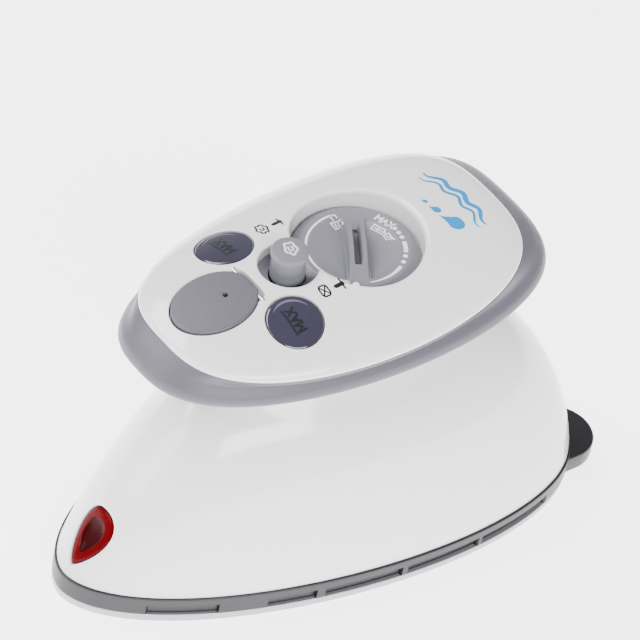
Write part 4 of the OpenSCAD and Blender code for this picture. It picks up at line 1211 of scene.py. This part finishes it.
# ---- the steam button and its collar ----
# A grey plunger with a slightly wider head, standing in a dished grey collar and hollow below
# for its spring. A white cloud of steam is printed on its head. Pressed, it slides 3.5 mm down.
BUTTON_TOP = 11.6
HEAD_R = 4.95
HEAD_ROUND = 0.45
SPRING_ROOM_R, SPRING_ROOM_TOP = 3.2, 6.2
COLLAR_IN = BUTTON_R + 0.3
COLLAR_OUT = BUTTON_WELL_R - GAP
button_profile = [(SPRING_ROOM_R, SPRING_ROOM_TOP), (SPRING_ROOM_R, BUTTON_FLOOR + 3.6),
                  (4.3, BUTTON_FLOOR + 3.6), (4.6, BUTTON_FLOOR + 3.7), (BUTTON_R, 4.5),
                  (4.5, BUTTON_TOP - 2.1), (4.55, BUTTON_TOP - 1.9), (HEAD_R, BUTTON_TOP - 1.65),
                  (HEAD_R, BUTTON_TOP - HEAD_ROUND - 0.15)]
button_profile += [(HEAD_R - HEAD_ROUND * (1 - math.cos(a)),
                    BUTTON_TOP - 0.15 - HEAD_ROUND * (1 - math.sin(a))) for a in quarter[1:]]
button_profile += [(2.6, BUTTON_TOP - 0.05), (1.2, BUTTON_TOP - 0.01), (0.3, BUTTON_TOP)]
button_rings = turned(button_profile, 80)
button_points, button_faces = joined(strip(button_rings), fan(button_rings[-1], (0, 0, BUTTON_TOP)),
                                     flipped(fan(button_rings[0], (0, 0, SPRING_ROOM_TOP))))
button_piece = to_mesh("steam_plunger", from_grip(button_points + [BUTTON_X, 0, 0]), button_faces,
                       control_grey, "button", 40.0)
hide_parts("steam_button")


def cloud(size, lobes=5, depth=0.16):
    """A closed wavy loop: a squashed circle whose radius swells between the lobes."""
    a = np.linspace(0, 2 * np.pi, 90, endpoint=False)
    radius = size * (1 - depth + depth * np.abs(np.sin(lobes * a / 2)) * 2)
    return np.stack([radius * np.cos(a), 0.72 * radius * np.sin(a)], -1)


def button_height(places):
    """The button's head, domed a little."""
    away = np.hypot(places[:, 0] - BUTTON_X, places[:, 1])
    return np.interp(away, [0, 1.2, 2.6, 4.0],
                     [BUTTON_TOP, BUTTON_TOP - 0.01, BUTTON_TOP - 0.05, BUTTON_TOP - 0.14])


swirl_a = np.linspace(0.6, 2 * np.pi - 0.4, 30)
swirl = np.stack([0.85 * np.cos(swirl_a), 0.6 * np.sin(swirl_a)], -1)
button_marks = placed([chain(cloud(2.05), 0.56, closed=True), chain(swirl, 0.5)], (BUTTON_X + 0.4, 0.3),
                      (-1.0, 0.25))
steam_mark = to_mesh("button_cloud_mark", *film(button_marks, button_height, 0.02), print_white,
                     "button")

collar_turn = np.linspace(0, 2 * np.pi, 361)
apart = DIAL_X - BUTTON_X
inside_well = (WELL_R + 0.02) ** 2 - (apart * np.sin(collar_turn)) ** 2
wall_at = apart * np.cos(collar_turn) - np.sqrt(np.clip(inside_well, 0, None))
collar_reach = np.where((np.cos(collar_turn) > 0) & (inside_well > 0), np.minimum(COLLAR_OUT, wall_at),
                        COLLAR_OUT)
collar_turn, collar_reach = collar_turn[collar_reach > COLLAR_IN
                                        + 0.05], collar_reach[collar_reach > COLLAR_IN + 0.05]
collar_rows = []
for share in [0.0] + list(np.linspace(0, 1, 12)) + [1.0]:
    radius = COLLAR_IN + (collar_reach - COLLAR_IN) * share
    high = 2.1 + 1.3 * np.clip((radius - COLLAR_IN) / (COLLAR_OUT - COLLAR_IN), 0, 1) ** 1.5
    collar_rows.append(np.column_stack([BUTTON_X + radius * np.cos(collar_turn),
                                        radius * np.sin(collar_turn), high]))
collar_rows[0][:, 2] = BUTTON_FLOOR
collar_rows[-1][:, 2] = BUTTON_FLOOR
collar_points, collar_faces = flipped(strip(collar_rows, closed=False))
collar_piece = to_mesh("plunger_collar", from_grip(collar_points), collar_faces, control_grey,
                       "iron_body", 50.0)
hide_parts("button_collar")


# ---- the filler cap ----
# An oval grey flap over the filling hole, crowned a little and vented by a pinhole. It
# swings on a steel pin at its end next to the button.
PIN_X, PIN_Z = CAP_L / 2 - 1.6, -1.1
KNUCKLE_R = 1.3
VENT_AT, VENT_R = (3.4, 0.0), 0.7
CAP_ROUND = 0.45


def cap_form(points):
    """Beyond the pin no point is farther from the pin's line than the knuckle's radius."""
    x, y, z = np.asarray(points, float).T
    away = np.hypot(x - PIN_X, z - PIN_Z)
    pull = np.where(x > PIN_X, np.minimum(1, KNUCKLE_R / np.maximum(away, 1e-9)), 1)
    return np.column_stack([PIN_X + (x - PIN_X) * np.where(x > PIN_X, pull, 1), y,
                            np.where(x > PIN_X, PIN_Z + (z - PIN_Z) * pull, z)])


def cap_crown(radius):
    """The cap's top over the share of the way to its edge."""
    return 0.3 * (1 - radius ** 2)


cap_rim = cap_outline(-CAP_ROUND, 96)
cap_rim = np.roll(cap_rim, -int(np.argmin(cap_rim[:, 0])), axis=0)
cap_rim = cap_rim if cap_rim[5, 1] > 0 else np.roll(cap_rim[::-1], 1, axis=0)
vent_loop = plane_to_disc(circle(VENT_AT, VENT_R + 0.15, 24), cap_rim, np.zeros(2))
plane, faces, loop_ids = pierced(np.linspace(0, 1, 26), 160, [vent_loop], 0.012)
flat = disc_to_plane(plane, cap_rim, np.zeros(2))
cap_parts = [compact(np.column_stack([flat, cap_crown(np.hypot(*plane.T))]), faces)]
vent_rings = [np.column_stack([circle(VENT_AT, r, 24), np.full(24, z)]) for r,
              z in ((VENT_R + 0.15, float(cap_crown(0.3))), (VENT_R, 0.15), (VENT_R, -2.0))]
cap_parts += [flipped(strip(vent_rings)), fan(vent_rings[-1], (*VENT_AT, -2.0))]
CAP_TURNS = 160
side_angles = np.linspace(0, 2 * np.pi, CAP_TURNS, endpoint=False)
side_line = disc_to_plane(np.stack([np.cos(side_angles), np.sin(side_angles)], -1), cap_rim,
                          np.zeros(2))
outward = side_line / np.hypot(*side_line.T)[:, None]
cap_sides = [np.column_stack([side_line + outward * CAP_ROUND * math.sin(a),
                              np.full(CAP_TURNS, -CAP_ROUND * (1 - math.cos(a)))]) for a in quarter]
cap_sides.append(np.column_stack([side_line + outward * CAP_ROUND, np.full(160, -CAP_T)]))
cap_parts += [strip(cap_sides), flipped(fan(cap_sides[-1], (0, 0, -CAP_T)))]
cap_points, cap_faces = joined(*cap_parts)
cap_piece = to_mesh("filler_flap", from_grip(at_cap(cap_form(cap_points))), cap_faces, grip_grey, "cap",
                    40.0)
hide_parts("filler_cap")


# ---- the fill windows ----
# Two smoky lenses over the water tank, so that the level can be seen. Each is crowned, carries a
# lighter arc of painted highlight for the lit tank wall seen inside, and is marked MAX beside its level
# line.
smoke = finish("window_smoke", (0.017, 0.0145, 0.034), (0.032, 0.027, 0.056), 0.09, 500.0, 0.02, 0.9,
               0.04, 90.0,
               Coat_Weight=0.7, Coat_Roughness=0.03, IOR=1.5)
# a lighter purple for the arc on each lens: painted highlight, not a colour of the lens
window_highlight_paint = finish("window_painted_highlight", (0.15, 0.135, 0.21), (0.10, 0.09, 0.15), 0.15, 500.0, 0.02, 0.6,
                    0.04, 120.0,
                    Coat_Weight=0.7, Coat_Roughness=0.05)
ink_black = finish("print_black", (0.003, 0.003, 0.005), (0.006, 0.006, 0.009), 0.4, 1500.0, 0.05, 0.3,
                   0.05)
WINDOW_CROWN = 0.35
WINDOW_EDGE = 0.5


def window_ring(side, share, sink):
    """A ring of the lens: the seat's outline shrunk, laid on the cover and sunk."""
    middle = np.array([WINDOW_AT[0], side * WINDOW_AT[1]])
    places = middle + (window_hole(side, 0.0) - middle) * share
    return np.column_stack([places, cover_height(places) - sink])


def window_height(side):
    """The lens's own face: the cover's height, sunk a little and crowned."""
    def height(places):
        middle = np.array([WINDOW_AT[0], side * WINDOW_AT[1]])
        share = np.clip(np.hypot(*((places - middle) / WINDOW_R).T), 0, 1)
        return cover_height(places) - 0.28 + WINDOW_CROWN * (1 - share ** 2)
    return height


for side, label in ((1, "left"), (-1, "right")):
    shares = [1.0, 1.0, 0.99, 0.965, 0.93] + list(np.linspace(0.88, 0.04, 16))
    rings = [window_ring(side, s, 0.28 - WINDOW_CROWN * (1 - s ** 2)
                         + (2.4 if k == 0 else WINDOW_EDGE * max(0, (s - 0.93) / 0.07) ** 2)) for k,
             s in enumerate(shares)]
    lens_points, lens_faces = joined(strip(rings), fan(rings[-1], rings[-1].mean(0)))
    window_piece = to_mesh("level_window_" + label, from_grip(lens_points), lens_faces, smoke,
                           "iron_body", 50.0)
    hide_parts("fill_window_" + label)
    middle = (WINDOW_AT[0], side * WINDOW_AT[1])
    # a lighter arc laid on the lens face as a thin film: painted highlight standing for the lit tank
    # wall seen through the lens
    step = ribbon(arc(middle, WINDOW_R * 0.74, math.radians(20), math.radians(130), 40),
                  np.sin(np.linspace(0.1, np.pi - 0.1, 40)) * 0.7)
    highlight_arc_piece = to_mesh("window_painted_highlight_" + label, *film([step], window_height(side), 0.02), window_highlight_paint,
                         "iron_body")
    level_mark = placed(word_max(2.3, 0.52) + strokes([((-3.6, 1.9), (3.6, 1.9))], 0.5, 8),
                        (middle[0] + 0.2, middle[1]), (-1.0, 0.0))
    level_piece = to_mesh("level_mark_" + label, *film(level_mark, window_height(side)), ink_black,
                          "iron_body")


# ---- the cover's marks ----
# Black pad-printed pictures beside the button, one for steam and one for dry ironing, and a plain
# blue decoration of drops and waves at the heel end.
print_blue = finish("print_blue", (0.0, 0.24, 0.62), (0.0, 0.30, 0.60), 0.3, 1500.0, 0.05, 0.4, 0.05)
plunger_sign = strokes([((-1.3, 1.5), (1.3, 1.5))], 0.4) + strokes([((0, 1.5), (0, 0.1))],
                                                                   1.0) + strokes([((0, 0.2),
                                                                                    (0, -0.4))], 0.5)
steam_sign = placed([chain(cloud(1.9, 6), 0.5, closed=True), chain(swirl * 0.8, 0.42)], (-22.6, 15.2),
                    (-1.0, 0.0)) + placed(plunger_sign, (-18.9, 15.0), (1.0, 0.0), 1.2)
cross = strokes([((-1.3, -0.9), (1.3, 0.9)), ((-1.3, 0.9), (1.3, -0.9))], 0.42)
dry_sign = placed([chain(cloud(1.75, 4, 0.1), 0.48, closed=True)] + cross, (-22.5, -12.1),
                  (-1.0, 0.0)) + placed(plunger_sign, (-18.9, -12.3), (1.0, 0.0), 1.2)
sign_piece = to_mesh("button_signs", *film(steam_sign + dry_sign, cover_height), ink_black, "iron_body")


def wave(start, end, swing, turns, width):
    """A wavy band between two places: a sine square to the way, thin at both ends."""
    start, end = np.asarray(start, float), np.asarray(end, float)
    share = np.linspace(0, 1, 90)[:, None]
    way = (end - start) / np.hypot(*(end - start))
    square = np.array([-way[1], way[0]])
    bow = 2.2 * (1 - (2 * share - 1) ** 2)
    return ribbon(start + (end - start) * share + square
                  * (swing * np.sin(2 * np.pi * turns * share) - bow),
                  (width * np.sin(np.pi * np.clip(share, 0.02, 0.98)) ** 0.4).ravel())


def drop_shape(middle, size, up):
    """A water drop: a circle drawn out to a point, r = size * (1 - sin a) on one side."""
    a = np.linspace(0, 2 * np.pi, 60, endpoint=False)
    ring = np.stack([size * 0.8 * np.cos(a) * (1 - np.clip(np.sin(a), 0, 1) ** 1.3),
                     size * (np.sin(a) + 0.7 * np.clip(np.sin(a), 0, 1) ** 3)], -1)
    return placed([fan(ring, (0.0, 0.0))], middle, up)


decoration = [wave((30.6, -12.4), (27.6, 11.4), 0.75, 3.5, 1.6),
              wave((28.2, -12.6), (25.4, 10.4), 0.75, 3.5, 1.0)]
decoration += drop_shape((22.6, -8.6), 2.9, (-0.55, 0.85)) + drop_shape((20.9, -2.6), 1.5,
                                                                        (-0.55,
                                                                         0.85)) + drop_shape((20.2,
                                                                                              1.3),
                                                                                             0.85,
                                                                                             (-0.55,
                                                                                              0.85))
decoration_piece = to_mesh("wave_decoration", *film(decoration, cover_height), print_blue, "iron_body")


# ---- the fittings ----
# The screws, the pin, the seals and all that works inside keep their made shapes. Each takes the
# finish of what it is made of: zinc-plated or stainless steel, brass, steatite, mica, silicone.
clear_tank = finish("clear_tank", (0.62, 0.68, 0.74), (0.55, 0.62, 0.70), 0.18, 800.0, 0.05, 0.3, 0.05,
                    Transmission_Weight=0.5, IOR=1.45)
steel_bright = finish("steel_bright", (0.55, 0.55, 0.56), (0.42, 0.42, 0.43), 0.28, 3000.0, 0.25, 0.4,
                      0.12, Metallic=1.0)
steel_heated = finish("steel_heated", (0.20, 0.18, 0.17), (0.30, 0.24, 0.18), 0.45, 1500.0, 0.3, 0.6,
                      0.15, 120.0, Metallic=0.9)
steatite = finish("steatite", (0.74, 0.71, 0.62), (0.62, 0.59, 0.52), 0.6, 1800.0, 0.35, 0.4, 0.1)
silicone_red = finish("silicone_red", (0.33, 0.04, 0.025), (0.25, 0.03, 0.02), 0.5, 1400.0, 0.2, 0.3,
                      0.1)
lead_sleeve = finish("lead_sleeve", (0.35, 0.012, 0.012), (0.25, 0.01, 0.01), 0.35, 1600.0, 0.15, 0.3,
                     0.08)
lamp_glass = finish("lamp_glass", (0.8, 0.35, 0.2), (0.7, 0.25, 0.12), 0.08, 500.0, 0.02, 0.3, 0.03,
                    Transmission_Weight=0.4)
brass_tab = finish("brass_tab", (0.55, 0.42, 0.18), (0.42, 0.30, 0.12), 0.32, 2200.0, 0.25, 0.5, 0.12,
                   Metallic=1.0)
mica_sheet = finish("mica_sheet", (0.45, 0.36, 0.24), (0.30, 0.24, 0.16), 0.42, 900.0, 0.4, 0.7, 0.15,
                    160.0)
SLOT_FINISHES = {"white_plastic": white_gloss, "grey_grip": grip_grey, "grey_control": control_grey,
                 "dark_skirt": skirt_dark, "sole_alloy": sole_alloy,
                 "window_smoke": smoke, "red_lens": red_lens, "clear_tank": clear_tank,
                 "steel": steel_bright, "heater_steel": steel_heated,
                 "ceramic": steatite, "rubber": rubber, "silicone": silicone_red,
                 "lead_red": lead_sleeve, "lamp_glass": lamp_glass,
                 "brass": brass_tab, "mica": mica_sheet}
for part in frame["record"]["subparts"]:
    kept = frame["nodes"][part["node"]]
    for place in kept.material_slots:
        place.material = SLOT_FINISHES[part["material_slot"]]
